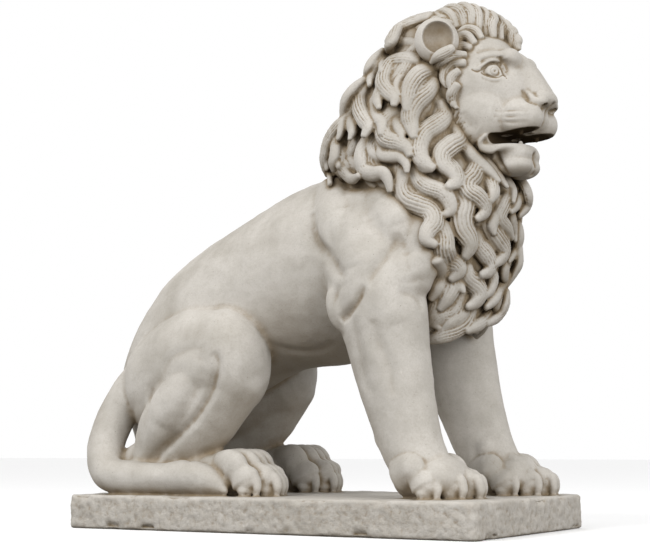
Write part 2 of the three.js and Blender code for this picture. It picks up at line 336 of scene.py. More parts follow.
clay = [body]
for side in SIDES:
    foot = raised(HIND_FOOT, LEFT_FOOT_RISE if side > 0 else 0)
    limb(clay, hind_side(THIGH, side), sides=40)
    limb(clay, hind_side(SHANK, side), sides=32)
    limb(clay, hind_side(CALF, side), across=CALF_ACROSS)
    limb(clay, hind_side(foot, side))
    limb(clay, fore_side(FOREFOOT, side))
    for muscle in (SHOULDER_BLADE, UPPER_ARM, BREAST):
        limb(clay, plain_side(muscle, side))
    limb(clay, fore_side(FOREARM, side))
    for (x, y, z), radii, pitch, height in FORELEG_LUMPS.values():
        lump(clay, (x + lean(height, side), side * y, z), radii, pitch=pitch)
limb(clay, TAIL, sides=28, rows=90, across=TAIL_ACROSS)
body = fused(clay, voxel=5, rounds=6)

# %% [markdown]
# Creases and locks are drawn as the photographer saw them: a line of picture points, thrown along the lines
# of sight onto the stone. This is that place, and the camera stands there again at the end. The picture is
# 650 by 542 points, counted from its upper left corner.

# %% The photographer's place
PICTURE = (650, 542)
FOCAL_PIXELS = 1408.33
AZIMUTH, PITCH, DISTANCE = math.radians(30.5), math.radians(-7.35), 3210
AIM = Vector((0, 0, 577))
back = Vector((math.sin(AZIMUTH) * math.cos(PITCH), -math.cos(AZIMUTH) * math.cos(PITCH), math.sin(PITCH)))
viewpoint = AIM + back * DISTANCE
picture_right = Vector((math.cos(AZIMUTH), math.sin(AZIMUTH), 0))
picture_up = back.cross(picture_right)


def as_tree(mesh):
    """A mesh that lines of sight can be thrown at."""
    block = linked("block", mesh)
    tree = BVHTree.FromObject(block, bpy.context.evaluated_depsgraph_get())
    bpy.data.objects.remove(block)
    return tree


def line_of_sight(place):
    across, down = place[0] - PICTURE[0] / 2, place[1] - PICTURE[1] / 2
    return (picture_right * across - picture_up * down - back * FOCAL_PIXELS).normalized()


def on_near_side(tree, line):
    """Picture points as stations on the near side, mirrored to the left."""
    hits = [tree.ray_cast(viewpoint * MM, line_of_sight(place))[0] for place in line]
    return [[hit.x / MM, -hit.y / MM, hit.z / MM] for hit in hits if hit]


flank = as_tree(body)

# %% [markdown]
# Now the chisel: creases that the masses alone don't give. A stroke is a line on the surface, and every
# point near it moves in along its normal, most on the line and less beside it. It is the sculpt brush
# as a formula, so the same stroke can be drawn on both flanks.


# %% Chisel strokes
SIDE_SENSE = 0.3
FINENESS, REACH = 6, 2.5


def on_surface(points, line):
    """The line's points moved to the nearest points of the surface, mostly sideways."""
    feel = np.array([1, SIDE_SENSE, 1])
    nearest = [points[np.argmin(np.sum(((points - place) * feel) ** 2, axis=1))] for place in line]
    return np.array(nearest)


def from_line(points, line):
    """Distance of each point from a polyline, and how far along it the nearest place lies."""
    nearest = np.full(len(points), np.inf)
    along = np.zeros(len(points))
    for k, (a, b) in enumerate(zip(line[:-1], line[1:])):
        way = b - a
        share = np.clip((points - a) @ way / max(way @ way, 1e-6), 0, 1)
        away = np.linalg.norm(points - a - share[:, None] * way, axis=1)
        along = np.where(away < nearest, (k + share) / (len(line) - 1), along)
        nearest = np.minimum(nearest, away)
    return nearest, along


def carve(mesh, strokes, fade=0.25):
    """Strokes: a line of points, half the groove's width, and its depth (less than 0 raises a ridge)."""
    points = read_points(mesh) / MM
    normals = read_points(mesh, "normal")
    for line, width, depth in strokes:
        line = on_surface(points, np.array([station[:3] for station in line], dtype=float))
        smooth = through(line, np.linspace(0, 1, FINENESS * len(line)))
        reach = REACH * width
        low, high = smooth.min(0) - reach, smooth.max(0) + reach
        near = np.flatnonzero(np.all((points > low) & (points < high), axis=1))
        away, along = from_line(points[near], smooth)
        ends = np.clip(np.minimum(along, 1 - along) / fade, 0, 1) if fade else 1
        amount = depth * np.exp(-((away / width) ** 2)) * np.sqrt(ends)
        points[near] -= normals[near] * amount[:, None]
    write_points(mesh, points)

# %% [markdown]
# The strokes of the body: grooves round the thigh, down the shank, over the shoulder and along the foreleg,
# and soft ridges between them. Each is a line of picture points, half a width and a depth in millimetres,
# where a depth less than 0 is a ridge.

# %% Creases of the body
HIND_STROKES = [
    ([(198, 360), (183, 390), (163, 426)], 26, -6),
    ([(236, 330), (240, 368), (222, 408)], 26, -3),
    ([(204, 346), (185, 350), (171, 358), (160, 376), (151, 393), (146, 409), (142, 431), (141, 455)], 14, 6),
    ([(213, 351), (218, 363), (214, 383), (204, 403), (191, 423), (178, 436), (163, 451), (153, 462)], 10, 9),
    ([(218, 451), (201, 456), (185, 462)], 8, 4),
    ([(136, 406), (136, 431), (133, 447)], 9, 4),
]
FORE_STROKES = [
    ([(372, 288), (388, 300), (398, 322)], 30, -4),
    ([(366, 283), (357, 299), (348, 313), (341, 322)], 9, 10),
    ([(346, 281), (338, 291), (332, 305), (333, 319), (341, 329)], 9, 4),
    ([(398, 292), (409, 294), (418, 300), (423, 311)], 13, 7),
    ([(353, 315), (356, 334), (359, 355), (363, 376), (370, 396)], 13, 5),
    ([(372, 319), (377, 339), (386, 360), (390, 379), (393, 396)], 15, 5),
]
FLANK_STROKES = [
    ([(344, 208), (350, 238), (352, 266)], 34, -7),
    ([(384, 196), (402, 222)], 36, -5),
    ([(408, 254), (416, 280)], 34, -6),
    ([(313, 212), (312, 228), (318, 242), (328, 256), (336, 270), (345, 280)], 14, 9),
    ([(330, 222), (331, 239), (333, 256), (341, 273)], 13, 3),
    ([(404, 237), (395, 245), (384, 259), (373, 274), (365, 284)], 14, 10),
    ([(370, 218), (379, 236), (392, 247)], 22, 5),
    ([(267, 350), (289, 350), (317, 351), (335, 342)], 12, 5),
]
strokes = []
for side in SIDES:
    for placed, lines in ((hind_side, HIND_STROKES), (fore_side, FORE_STROKES), (plain_side, FLANK_STROKES)):
        strokes += [(placed(on_near_side(flank, line), side), width, depth) for line, width, depth in lines]
carve(body, strokes)
print("strokes on the body", len(strokes))

# %% [markdown]
# A paw is four toes side by side; on all four paws the right toe is set back most. Each toe has a knuckle,
# a waist, a round bulb and a strong claw that comes out of the bulb and points down to the slab.

# %% Paws
FORE_PAW = {"tip": 436, "width": 160, "height": 90, "length": 104}
HIND_PAW = {"tip": -16, "width": 144, "height": 99, "length": 104}
FORE_TOES = {1.0: -58, 0.36: -20, -0.3: 0, -0.92: -8}
HIND_TOES = {1.0: -24, 0.36: 6, -0.3: -4, -0.92: -16}
LEFT_PAW_FORWARD = {"fore": 8, "hind": 14}
GROUND, CLAW_REACH, SHORTEST_TOE = 74, 9, 74
TOE_RADIUS, ROOT_SPREAD = 0.152, 0.75
# Shares of the toe's length behind the bulb, the paw's height, the toe's radius and the paw's height.
TOE = [
    [1.00, 0.55, 1.00, 0.42],
    [0.62, 0.65, 0.98, 0.36],
    [0.42, 0.50, 0.82, 0.29],
    [0.22, 0.34, 1.02, 0.36],
    [0.17, 0.28, 0.90, 0.30],
]
# Millimetres before the tip and over the slab, and the radius.
CLAW = [[-14, 43, 9], [-1, 38, 10.5], [4, 21, 10], [2, 4, 7]]
PAD_BEHIND, PAD_RISE, PAD_LENGTH, PAD_WIDTH, PAD_HEIGHT = 16, 14, 18, 0.9, 17


def toe(clay, paw, middle, place, behind):
    """One toe; place runs from 1, the right side of the paw, to -1."""
    wide, high, long = paw["width"], paw["height"], max(paw["length"] + behind, SHORTEST_TOE)
    radius = TOE_RADIUS * wide
    y = middle - place * (wide / 2 - radius)
    tip = paw["tip"] + behind
    bulb = tip - CLAW_REACH
    stations = [[bulb - a * long, y, GROUND + b * high, c * radius, d * high] for a, b, c, d in TOE]
    stations[0][1] = middle + ROOT_SPREAD * (y - middle)
    limb(clay, stations, rows=34)
    limb(clay, [[tip + x, y, GROUND + z, size, size] for x, z, size in CLAW], sides=16, rows=20)
    lump(clay, (bulb - PAD_BEHIND, y, GROUND + PAD_RISE), (PAD_LENGTH, PAD_WIDTH * radius, PAD_HEIGHT))


clay = [body]
for side in SIDES:
    hind = dict(HIND_PAW)
    if side > 0:
        hind["tip"] += LEFT_HIND_BACK + LEFT_PAW_FORWARD["hind"]
        hind["height"] += LEFT_FOOT_RISE
    fore = dict(FORE_PAW, tip=FORE_PAW["tip"] + lean(GROUND, side))
    if side > 0:
        fore["tip"] += LEFT_PAW_FORWARD["fore"]
    hind_middle = hind_side(HIND_FOOT, side)[0][1]
    fore_middle = fore_side(FOREFOOT, side)[0][1]
    for paw, middle, toes in ((hind, hind_middle, HIND_TOES), (fore, fore_middle, FORE_TOES)):
        for place, behind in toes.items():
            toe(clay, paw, middle, place, behind)
print("pieces of clay for the paws", len(clay) - 1)

# %% [markdown]
# The slab is a plain block with worn edges: a cube, scaled, its upright corners rounded more than the
# rims.

# %% Slab
SLAB = (995, 574, GROUND)
CORNER, RIM = 16, 6
BODY_GRAIN = 3.2


def slab():
    block = bmesh.new()
    size = Vector(SLAB) * MM
    placed = Matrix.LocRotScale(Vector((0, 0, size.z / 2)), None, size)
    bmesh.ops.create_cube(block, size=1, matrix=placed)
    upright = [e for e in block.edges if abs(e.verts[0].co.z - e.verts[1].co.z) > size.z / 2]
    bevel = {"affect": "EDGES", "profile": 0.5, "material": -1}
    bmesh.ops.bevel(block, geom=upright, offset=CORNER * MM, segments=5, **bevel)
    rims = [e for e in block.edges if abs(e.verts[0].co.z - e.verts[1].co.z) < 1e-6]
    rims = [e for e in rims if len({round(f.normal.z, 2) for f in e.link_faces}) == 2]
    bmesh.ops.bevel(block, geom=rims, offset=RIM * MM, segments=3, **bevel)
    mesh = bpy.data.meshes.new("slab")
    block.to_mesh(mesh)
    block.free()
    return mesh


clay.append(slab())
body = fused(clay, voxel=BODY_GRAIN, rounds=2)

# %% [markdown]
# Weather has taken the polish off: the whole surface is a little uneven, and the sawn sides of the slab are
# rough. Noise moves the points along their normals. A Displace modifier could do it too, but not only where
# a function chooses.

# %% Weathering
# The noise's roughness, the step in size between its layers, and their number.
FRACTAL = (0.8, 2.0, 3)
WEAR, SAW_MARKS = {"size": 70, "depth": 1.6}, {"size": 16, "depth": 1.7}
UNDERSIDE, UPRIGHT = 3, 0.6


def roughen(mesh, where, size, depth):
    """Moves the points that where chooses in and out by noise of a given grain size."""
    points = read_points(mesh) / MM
    normals = read_points(mesh, "normal")
    chosen = np.flatnonzero(where(points, normals))
    rise = np.array([noise.fractal(Vector(place / size), *FRACTAL) for place in points[chosen]])
    points[chosen] += normals[chosen] * (depth * rise)[:, None]
    write_points(mesh, points)


def above_ground(points, normals):
    return points[:, 2] > UNDERSIDE


def on_slab_sides(points, normals):
    between = (points[:, 2] < GROUND - 1) & (points[:, 2] > UNDERSIDE - 1)
    return between & (np.abs(normals[:, 2]) < UPRIGHT)


roughen(body, above_ground, **WEAR)
roughen(body, on_slab_sides, **SAW_MARKS)

# %% [markdown]
# Chips are gone from the rims of the slab. They are short deep strokes along the upper and the lower rim, at
# places drawn by lot from the seed, not at the photograph's places.

# %% Chips
CHIPS, UPPER_SHARE, LONG_SIDE_SHARE = 46, 0.45, 0.6
CHIP_HALF_LENGTH, CHIP_HALF_WIDTH, CHIP_DEPTH = (3, 16), (4, 9), (2, 7)
LOWER_RIM = 4


def chip_places(count):
    """Short lines along the slab's upper and lower rims."""
    half_long, half_wide = SLAB[0] / 2, SLAB[1] / 2
    for _ in range(count):
        height = GROUND if chance.random() < UPPER_SHARE else LOWER_RIM
        if chance.random() < LONG_SIDE_SHARE:
            x = chance.uniform(-half_long, half_long)
            y = chance.choice(SIDES) * half_wide
            way = np.array([1, 0, 0])
        else:
            x = chance.choice(SIDES) * half_long
            y = chance.uniform(-half_wide, half_wide)
            way = np.array([0, 1, 0])
        place = np.array([x, y, height])
        long = chance.uniform(*CHIP_HALF_LENGTH)
        line = [place - way * long, place + way * long]
        yield line, chance.uniform(*CHIP_HALF_WIDTH), chance.uniform(*CHIP_DEPTH)


carve(body, list(chip_places(CHIPS)), fade=0)
print("chips on the slab", CHIPS)

# %% [markdown]
# The neck stands under the mane and carries the head. Its mass is a little smaller than the mane, so that the
# valleys between the locks stay deep. A row of the mane is a height, the x of its middle, half its width and
# half its depth.

# %% Neck
MANE = [
    [418, 318, 76, 58],
    [500, 314, 116, 92],
    [600, 304, 150, 132],
    [700, 286, 170, 172],
    [790, 240, 182, 196],
    [880, 240, 172, 154],
    [980, 274, 150, 124],
    [1045, 310, 120, 112],
    [1080, 346, 74, 72],
]
MANE_INSET, NAPE_INSET, TOP_INSET = 20, 16, 46
THROAT_LOW, NAPE_LOW = 455, 950
clay = []
inset = {row[0]: NAPE_INSET if row[0] > NAPE_LOW else MANE_INSET for row in MANE}
inset[MANE[-1][0]] = TOP_INSET
neck = [[x, 0, max(z, THROAT_LOW), width - inset[z], depth - inset[z]] for z, x, width, depth in MANE]
limb(clay, neck, sides=48, rows=48)
throat = fused(clay, voxel=5, rounds=4)

# %% [markdown]
# The head: a skull that narrows to a broad muzzle, with a crown, a forehead, cheeks, whisker pads, a square
# jaw and a chin. The crown is a little smaller than the hair on it.

# %% Head masses
SKULL = [
    [320, 0, 950, 112, 118],
    [400, 0, 938, 108, 110],
    [450, 0, 914, 90, 92],
    [490, 0, 882, 62, 58],
    [508, 0, 874, 40, 36],
]
NOSE_BRIDGE = [
    [414, 0, 1008, 74, 46],
    [480, 0, 970, 46, 40],
    [530, 0, 916, 40, 28],
]
JAW = [
    [380, 0, 816, 86, 46],
    [430, 0, 802, 64, 36],
    [474, 0, 786, 50, 36],
]
BROW = [
    [404, 84, 982, 12, 12],
    [430, 75, 989, 19, 17],
    [456, 62, 993, 21, 18],
]
LOWER_LIP = [
    [432, 80, 802, 8, 7],
    [448, 69, 799, 9, 9],
    [470, 57, 803, 9, 9],
    [490, 43, 804, 9, 9],
    [503, 24, 803, 9, 9],
    [509, 0, 802, 9, 9],
]
CROWN, CROWN_SIZE = np.array([338, 0, 1000]), np.array([120, 112, 118])
HAIR_CAP = np.array([20, 20, 8])
FOREHEAD, FOREHEAD_SIZE = (402, 0, 998), (75, 84, 66)
# Each pair of lumps has a centre, radii, and a pitch and a turn in degrees.
FACE_LUMPS = {
    "upper chin": ((476, 21, 792), (41, 32, 25), 0, 0),
    "lower chin": ((477, 22, 768), (40, 32, 24), 0, 0),
    "whisker pad": ((497, 44, 864), (54, 38, 42), 8, -6),
    "cheek": ((406, 58, 880), (76, 48, 80), 0, 0),
    "inner brow": ((480, 44, 992), (25, 29, 25), 0, 0),
}
clay = []
limb(clay, SKULL, sides=40)
lump(clay, CROWN, CROWN_SIZE - HAIR_CAP)
limb(clay, NOSE_BRIDGE, sides=32)
limb(clay, JAW, sides=32)
lump(clay, FOREHEAD, FOREHEAD_SIZE)
for side in SIDES:
    for (x, y, z), radii, pitch, turn in FACE_LUMPS.values():
        lump(clay, (x, side * y, z), radii, pitch=pitch, yaw=side * turn)
    limb(clay, plain_side(BROW, side))
    limb(clay, plain_side(LOWER_LIP, side))
head = fused(clay, voxel=4, rounds=7)

# %% [markdown]
# The features come next, each where the face needs it: the nose with its wings, the corners of the lips and
# the ears. They are small limbs and lumps, melted in with little smoothing.

# %% Nose, lips and ears
NOSE, NOSE_SIZE, NOSE_PITCH = (541, 0, 908), (25, 40, 21), 30
EAR, EAR_SIZE, EAR_TURN = (347, 122, 1033), (48, 26, 51), 32
NOSE_WING = [
    [514, 40, 914, 7, 9],
    [524, 43, 903, 10, 10],
    [534, 40, 894, 11, 10],
    [547, 30, 897, 11, 12],
]
LIP_CORNER = [
    [440, 87, 824, 4, 4],
    [428, 85, 813, 6, 6],
    [430, 78, 798, 8, 7],
    [448, 70, 793, 8, 7],
    [462, 62, 797, 6, 6],
]
clay = [head]
lump(clay, NOSE, NOSE_SIZE, pitch=NOSE_PITCH)
for side in SIDES:
    for feature in (NOSE_WING, LIP_CORNER):
        limb(clay, plain_side(feature, side), sides=18)
    lump(clay, plain_side([EAR], side)[0], EAR_SIZE, yaw=side * -EAR_TURN)
head = fused(clay, voxel=3, rounds=3)

# %% [markdown]
# Eye sockets, the rows of the whisker pads and the furrow of the brow are pressed in with the same strokes as
# the creases of the body, some from points on the face and some from picture points. The uncut head is kept,
# to tell later how deep a cut lies.

# %% Strokes of the face
FACE_STROKES = [
    ([[438, 93, 966], [454, 86, 965], [472, 77, 961]], 15, 15),
    ([[474, 74, 984], [480, 72, 968], [486, 70, 950]], 11, 8),
    ([[509, 46, 922], [516, 52, 908], [527, 55, 894], [542, 48, 884]], 5, 5),
    ([[462, 82, 876], [492, 78, 873], [532, 62, 868]], 4.5, 2.8),
    ([[460, 82, 864], [494, 77, 861], [536, 58, 858]], 4.5, 2.8),
    ([[464, 80, 852], [494, 75, 849], [532, 58, 849]], 4.5, 2.6),
    ([[418, 72, 1006], [436, 60, 1014], [452, 44, 1018]], 9, 3),
    ([[428, 84, 838], [410, 90, 852], [396, 96, 876]], 14, 4),
]
FACE_LINES = [
    ([(497, 150), (498, 158), (503, 168), (510, 176)], 7, 8),
    ([(492, 159), (481, 153)], 12, 6),
    ([(500, 56), (501, 61), (501, 66)], 6, 7),
]
PHILTRUM = [[562, 0, 890], [545, 0, 872], [535, 0, 850], [520, 0, 836]]
CHIN_GROOVE = [[506, 0, 744], [516, 0, 768], [514, 0, 790]]
FACE_FADE = 0.4


def both_sides(strokes):
    return [(plain_side(line, side), width, depth) for line, width, depth in strokes for side in SIDES]


carve(head, both_sides(FACE_STROKES), fade=FACE_FADE)
face = as_tree(head)
carve(head, both_sides([(on_near_side(face, line), width, depth) for line, width, depth in FACE_LINES]))
carve(head, [(PHILTRUM, 6, 9), (CHIN_GROOVE, 5, 6)], fade=0)
uncut = as_tree(head)

# %% [markdown]
# The open mouth is cut with a flat slot, the nostrils and the cups of the ears with eggs, as a saw, a drill
# and a rasp would take them out of the stone. The Boolean modifier does it in one go.

# %% Mouth, nostrils and ear hollows
MOUTH_SLOT = [[452, 0, 820, 130, 13], [500, 0, 823, 130, 14], [556, 0, 827, 130, 15]]
EAR_CUP, EAR_CUP_SIZE, EAR_CUP_OUT = (349, 123, 1037), (35, 27, 37), 22
NOSTRIL, NOSTRIL_SIZE, NOSTRIL_TURN, NOSTRIL_PITCH = (548, 26, 889), (13, 8, 7), 35, 20
clay = []
limb(clay, MOUTH_SLOT, sides=40)
for side in SIDES:
    out = Vector((math.sin(math.radians(EAR_TURN)), side * math.cos(math.radians(EAR_TURN)), 0))
    cup = Vector(plain_side([EAR_CUP], side)[0]) + out * EAR_CUP_OUT
    lump(clay, cup, EAR_CUP_SIZE, yaw=side * -EAR_TURN)
    lump(clay, plain_side([NOSTRIL], side)[0], NOSTRIL_SIZE, yaw=side * NOSTRIL_TURN, pitch=NOSTRIL_PITCH)
cutters = joined(clay)
cut = {"operation": "DIFFERENCE", "solver": "MANIFOLD", "object": cutters}
head = modified(linked("head", head), ("BOOLEAN", cut))
bpy.data.objects.remove(cutters)
print("cut head", len(head.polygons), "faces")

# %% [markdown]
# Eyes, teeth and tongue are added after the cuts. The eyeball sits in its socket; its lids are cut last,
# when everything else on the head is in place.

# %% Eyes, teeth and tongue
EYE = Vector((449, 66.5, 960))
EYE_RADIUS = 22
UPPER_TOOTH = [[500, 42, 852, 10, 9], [502, 43, 842, 8, 7], [502, 43, 832, 5, 5]]
LOWER_TOOTH = [[494, 30, 796, 9, 8], [496, 31, 806, 7, 6.5], [496, 31, 813, 4.5, 4.5]]
TONGUE = [[420, 0, 802, 46, 12], [460, 0, 802, 38, 10], [490, 0, 800, 26, 9]]
clay = []
limb(clay, TONGUE)
for side in SIDES:
    lump(clay, (EYE.x, side * EYE.y, EYE.z), [EYE_RADIUS] * 3)
    for tooth in (UPPER_TOOTH, LOWER_TOOTH):
        limb(clay, plain_side(tooth, side), sides=14, rows=30)

# %% [markdown]
# The locks that show are drawn in the picture too: a line of points for each, from its root to its tip,
# thrown onto the mass of the mane, the crown or the shoulder it drapes over. So the near side follows the
# real statue lock by lock.

# %% Throwing lines onto the mane
LOWEST_DRAPE, DRAPE = 520, 8
MANE_MIDDLE, HALF_MANE = 730, 350
NEARER, FARTHER, SIGHT_STEPS = 900, 400, 400
FEELER = 4


def mane_section(z):
    return [np.interp(z, [row[0] for row in MANE], [row[k] for row in MANE]) for k in (1, 2, 3)]


def off_mane(points, lift):
    """How far points lie outside the mane's mass or the crown, both grown by a lift."""
    x, width, depth = mane_section(points[:, 2])
    ring = np.hypot((points[:, 0] - x) / (depth + lift), points[:, 1] / (width + lift)) - 1
    trunk = np.maximum(ring * np.minimum(width, depth), np.abs(points[:, 2] - MANE_MIDDLE) - HALF_MANE)
    dome = np.linalg.norm((points - CROWN) / (CROWN_SIZE + lift), axis=1) - 1
    return np.minimum(trunk, dome * CROWN_SIZE.min())


def thrown(place, lift):
    """A picture point thrown onto the mane or the shoulder, and the way out of it there."""
    sight = line_of_sight(place)
    away = np.linspace(DISTANCE - NEARER, DISTANCE + FARTHER, SIGHT_STEPS)
    ray = np.array(viewpoint) + away[:, None] * np.array(sight)
    gap = off_mane(ray, lift)
    k = np.argmax(gap < 0) if (gap < 0).any() else np.argmin(gap)
    hit = ray[k]
    if gap[k] < 0:
        hit = ray[k - 1] + (ray[k] - ray[k - 1]) * gap[k - 1] / (gap[k - 1] - gap[k])
    around = off_mane(hit + np.vstack([np.eye(3), -np.eye(3)]) * FEELER, lift)
    out = unit(around[:3] - around[3:])
    flesh, flesh_out, _, far = flank.ray_cast(viewpoint * MM, sight)
    if flesh and flesh.z > LOWEST_DRAPE * MM and far / MM < np.linalg.norm(hit - viewpoint) + DRAPE:
        return np.array(flesh / MM - sight * (DRAPE + 0.5 * lift)), unit(out + np.array(flesh_out))
    return hit, out

# %% [markdown]
# Each lock is a pulled ball again, whose section has furrows between round strands. It leaves the neck at
# its root and lifts off towards a hooked tip that lies over the next root. A hair system could draw single
# hairs, but a carver cuts locks with a few strands in each.

# %% A lock and its strands
LOCK_DEPTH, LOCK_END = 0.75, 0.8
STRAND_DEPTH, TWIST = 0.36, 0.5
ROOT_WIDTH, TIP_LOSS, TIP_POWER = 0.72, 0.62, 3.5


def strand_section(count, depth, twist):
    """Round strands with sharp furrows between them."""

    def section(turn, share):
        furrow = 1 - np.abs(np.sin(count / 2 * (turn + twist * share)))
        uneven = 0.65 + 0.35 * np.sin(2 * turn + 9 * twist)
        return 1 - depth * uneven * furrow * np.clip(5 * share, 0.4, 1)

    return section


def swell(share):
    """A lock's width along its way: slender root, full middle, narrow tip."""
    return min(1, ROOT_WIDTH + share) * (1 - TIP_LOSS * share**TIP_POWER)


def lock(clay, places, ways, half_width, sides=72, rows=60, strands=(16, 18, 20)):
    """A lock through places, with the way out of the mane at each."""
    last = len(places) - 1
    stations = [[*p, half_width * swell(k / last), LOCK_DEPTH * half_width * swell(k / last)]
                for k, p in enumerate(places)]
    section = strand_section(chance.choice(strands), STRAND_DEPTH, chance.uniform(-TWIST, TWIST))
    limb(clay, stations, sides=sides, rows=rows, outward=ways, blunt=LOCK_END, strands=section)

# %% [markdown]
# These are the locks that the photograph shows: half a width and then the line, both in picture points. The
# last ones fill gaps between the others. A lock that lies clear of the middle is also drawn mirrored.

# %% Mane locks
# A picture point in millimetres at the lion's distance, and how much fuller than drawn a lock is.
PIXEL, FULLNESS = 2.12, 1.6
ROOT_LIFT, TIP_LIFT = -14, 12
CENTRE_LINE, FLIP = -30, np.array([1, -1, 1])
NEAR_LOCKS = [
    (6.9, [(430, 17), (414, 23), (399, 31), (391, 42), (389, 51)]),
    (5.2, [(418, 44), (405, 43), (392, 48), (384, 59), (381, 71)]),
    (6.3, [(419, 60), (405, 59), (392, 63), (385, 73), (383, 84), (389, 93), (395, 99), (394, 105)]),
    (3.0, [(406, 75), (399, 80), (396, 88), (399, 95)]),
    (6.7, [(431, 68), (419, 75), (411, 87), (408, 100), (407, 110)]),
    (7.1, [(435, 82), (427, 92), (418, 100), (412, 109), (410, 119), (412, 129), (414, 137)]),
    (7.1, [(442, 103), (445, 116), (436, 125), (424, 134), (419, 147), (421, 158), (427, 165), (433, 168)]),
    (7.1, [(455, 125), (459, 139), (450, 146), (442, 154), (443, 164), (451, 172), (457, 181)]),
    (6.7, [(377, 75), (369, 83), (362, 95), (360, 108), (364, 119), (368, 127), (364, 136)]),
    (4.6, [(383, 51), (374, 60), (368, 69), (365, 78)]),
    (5.7, [(368, 79), (356, 88), (347, 99), (344, 110), (342, 119)]),
    (6.7, [(356, 114), (342, 124), (331, 138), (326, 152), (327, 164)]),
    (6.1, [(342, 131), (330, 143), (326, 156), (327, 166), (331, 173), (330, 184)]),
    (5.4, [(353, 136), (345, 145), (342, 157), (342, 168), (348, 176), (353, 179), (359, 176)]),
    (5.7, [(366, 140), (362, 149), (361, 161), (365, 171), (374, 174), (383, 173), (388, 180), (390, 191)]),
    (6.4, [(398, 109), (387, 117), (383, 129), (387, 139), (399, 143), (407, 148), (410, 155)]),
    (4.5, [(381, 146), (383, 155), (390, 157), (400, 157), (406, 163), (407, 172)]),
    (7.5, [(404, 172), (401, 187), (407, 199), (420, 205), (431, 212), (434, 222),
           (428, 232), (427, 240), (435, 245)]),
    (6.3, [(415, 165), (419, 179), (427, 187), (441, 192), (448, 200), (450, 210), (445, 215)]),
    (5.1, [(417, 152), (421, 160), (425, 167), (432, 170)]),
    (7.0, [(441, 158), (448, 167), (454, 175), (455, 182), (448, 187)]),
    (6.8, [(468, 152), (476, 165), (473, 176), (467, 183), (468, 191), (477, 196),
           (484, 205), (484, 213), (477, 219)]),
    (5.8, [(483, 171), (490, 182), (493, 192), (491, 201)]),
    (8.7, [(457, 188), (464, 203), (461, 216), (462, 228), (467, 238), (469, 247), (465, 257)]),
    (7.5, [(441, 225), (444, 238), (444, 250), (448, 259), (456, 265), (458, 272), (451, 279)]),
    (8.0, [(484, 218), (489, 228), (496, 238), (502, 247), (502, 256), (495, 264)]),
    (7.0, [(473, 233), (477, 245), (484, 253), (489, 262), (488, 271), (481, 275)]),
    (7.3, [(465, 267), (467, 276), (475, 285), (479, 294), (475, 302), (468, 307)]),
    (4.1, [(449, 280), (454, 285), (460, 287), (464, 292)]),
    (5.8, [(457, 292), (458, 302), (452, 312), (441, 316), (435, 323), (439, 328)]),
    (7.0, [(471, 310), (465, 321), (455, 329), (441, 336), (427, 341)]),
    (6.1, [(489, 304), (485, 316), (477, 325), (467, 331)]),
    (6.3, [(512, 168), (519, 181), (526, 194), (526, 206), (519, 216)]),
    (4.8, [(512, 184), (517, 195), (516, 205), (511, 212)]),
    (6.3, [(500, 183), (507, 196), (502, 208), (499, 218), (507, 228), (512, 238)]),
    (5.6, [(512, 217), (517, 228), (518, 240), (514, 252), (508, 262)]),
    (4.8, [(519, 248), (518, 263), (513, 274), (507, 286)]),
    (7.0, [(501, 267), (503, 276), (497, 288), (493, 299), (486, 307)]),
    (6.3, [(505, 292), (503, 304), (497, 316), (487, 324)]),
    (5.0, [(391, 73), (383, 86), (378, 98), (379, 108)]),
    (5.0, [(374, 100), (376, 115), (382, 124), (381, 134)]),
    (5.0, [(352, 104), (349, 118), (353, 130), (350, 139)]),
    (5.0, [(392, 120), (400, 128), (402, 138)]),
    (5.5, [(487, 266), (492, 278), (489, 290), (482, 298)]),
    (5.5, [(445, 296), (446, 308), (440, 318), (432, 326)]),
    (5.5, [(495, 200), (498, 212), (492, 224), (494, 234)]),
    (5.0, [(461, 140), (470, 152), (480, 163), (490, 172), (499, 181)]),
    (5.0, [(473, 151), (485, 163), (497, 175), (507, 187)]),
    (5.0, [(493, 170), (503, 178), (512, 190), (513, 202)]),
    (6.5, [(437, 260), (441, 275), (437, 288), (431, 299)]),
    (6.5, [(447, 270), (452, 284), (447, 298), (440, 309)]),
    (6.0, [(433, 287), (437, 301), (433, 314), (429, 325)]),
    (6.0, [(463, 300), (461, 314), (451, 322), (442, 331)]),
    (6.0, [(346, 135), (339, 146), (336, 157), (339, 167)]),
    (5.5, [(382, 56), (376, 66), (372, 75), (370, 85)]),
]
manes = {-1: [throat], 1: []}
for half_width, line in NEAR_LOCKS:
    lifts = np.linspace(ROOT_LIFT, TIP_LIFT, len(line))
    hits, outs = (np.array(both) for both in zip(*(thrown(p, lift) for p, lift in zip(line, lifts))))
    lock(manes[-1], hits, outs, half_width * FULLNESS * PIXEL)
    if hits[:, 1].max() < CENTRE_LINE:
        lock(manes[1], hits * FLIP, outs * FLIP, half_width * FULLNESS * PIXEL)
print("drawn locks", len(NEAR_LOCKS))

# %% [markdown]
# Under the drawn locks and behind, where the photograph doesn't look, tiers of smaller locks fill the gaps.
# Each hangs from a height and a bearing round the mane, 0 at the front and 180 at the back, waves about once
# and ends in a hook. The hem says how low the mane reaches at each bearing.

# %% Small locks
TIERS, TIER_TOP, TIER_STEP = 11, 1085, 64
HEM = [[0, 425], [35, 425], [60, 470], [80, 600], [100, 715], [125, 760], [180, 765]]
SMALL_LOCK = {"spacing": 37, "half_width": 20, "fall": 118, "steps": 8}
WAVE, WAVES, HOOK, SWING = 14, 1.1, 14, 8
ROOT_RISE, TIP_RISE, SLIMMEST = -26, 14, 80
BACK_BEARING, BACK_RISE = 132, 9
NAPE, NAPE_RISE = 860, 28
FACE_LOW, FACE_BACK, SHORTEST_FALL = 800, 360, 55
TURN_CHANCE, HEIGHT_CHANCE = 2, 12
WIDTH_CHANCE, FALL_CHANCE = (0.85, 1.15), (0.85, 1.2)


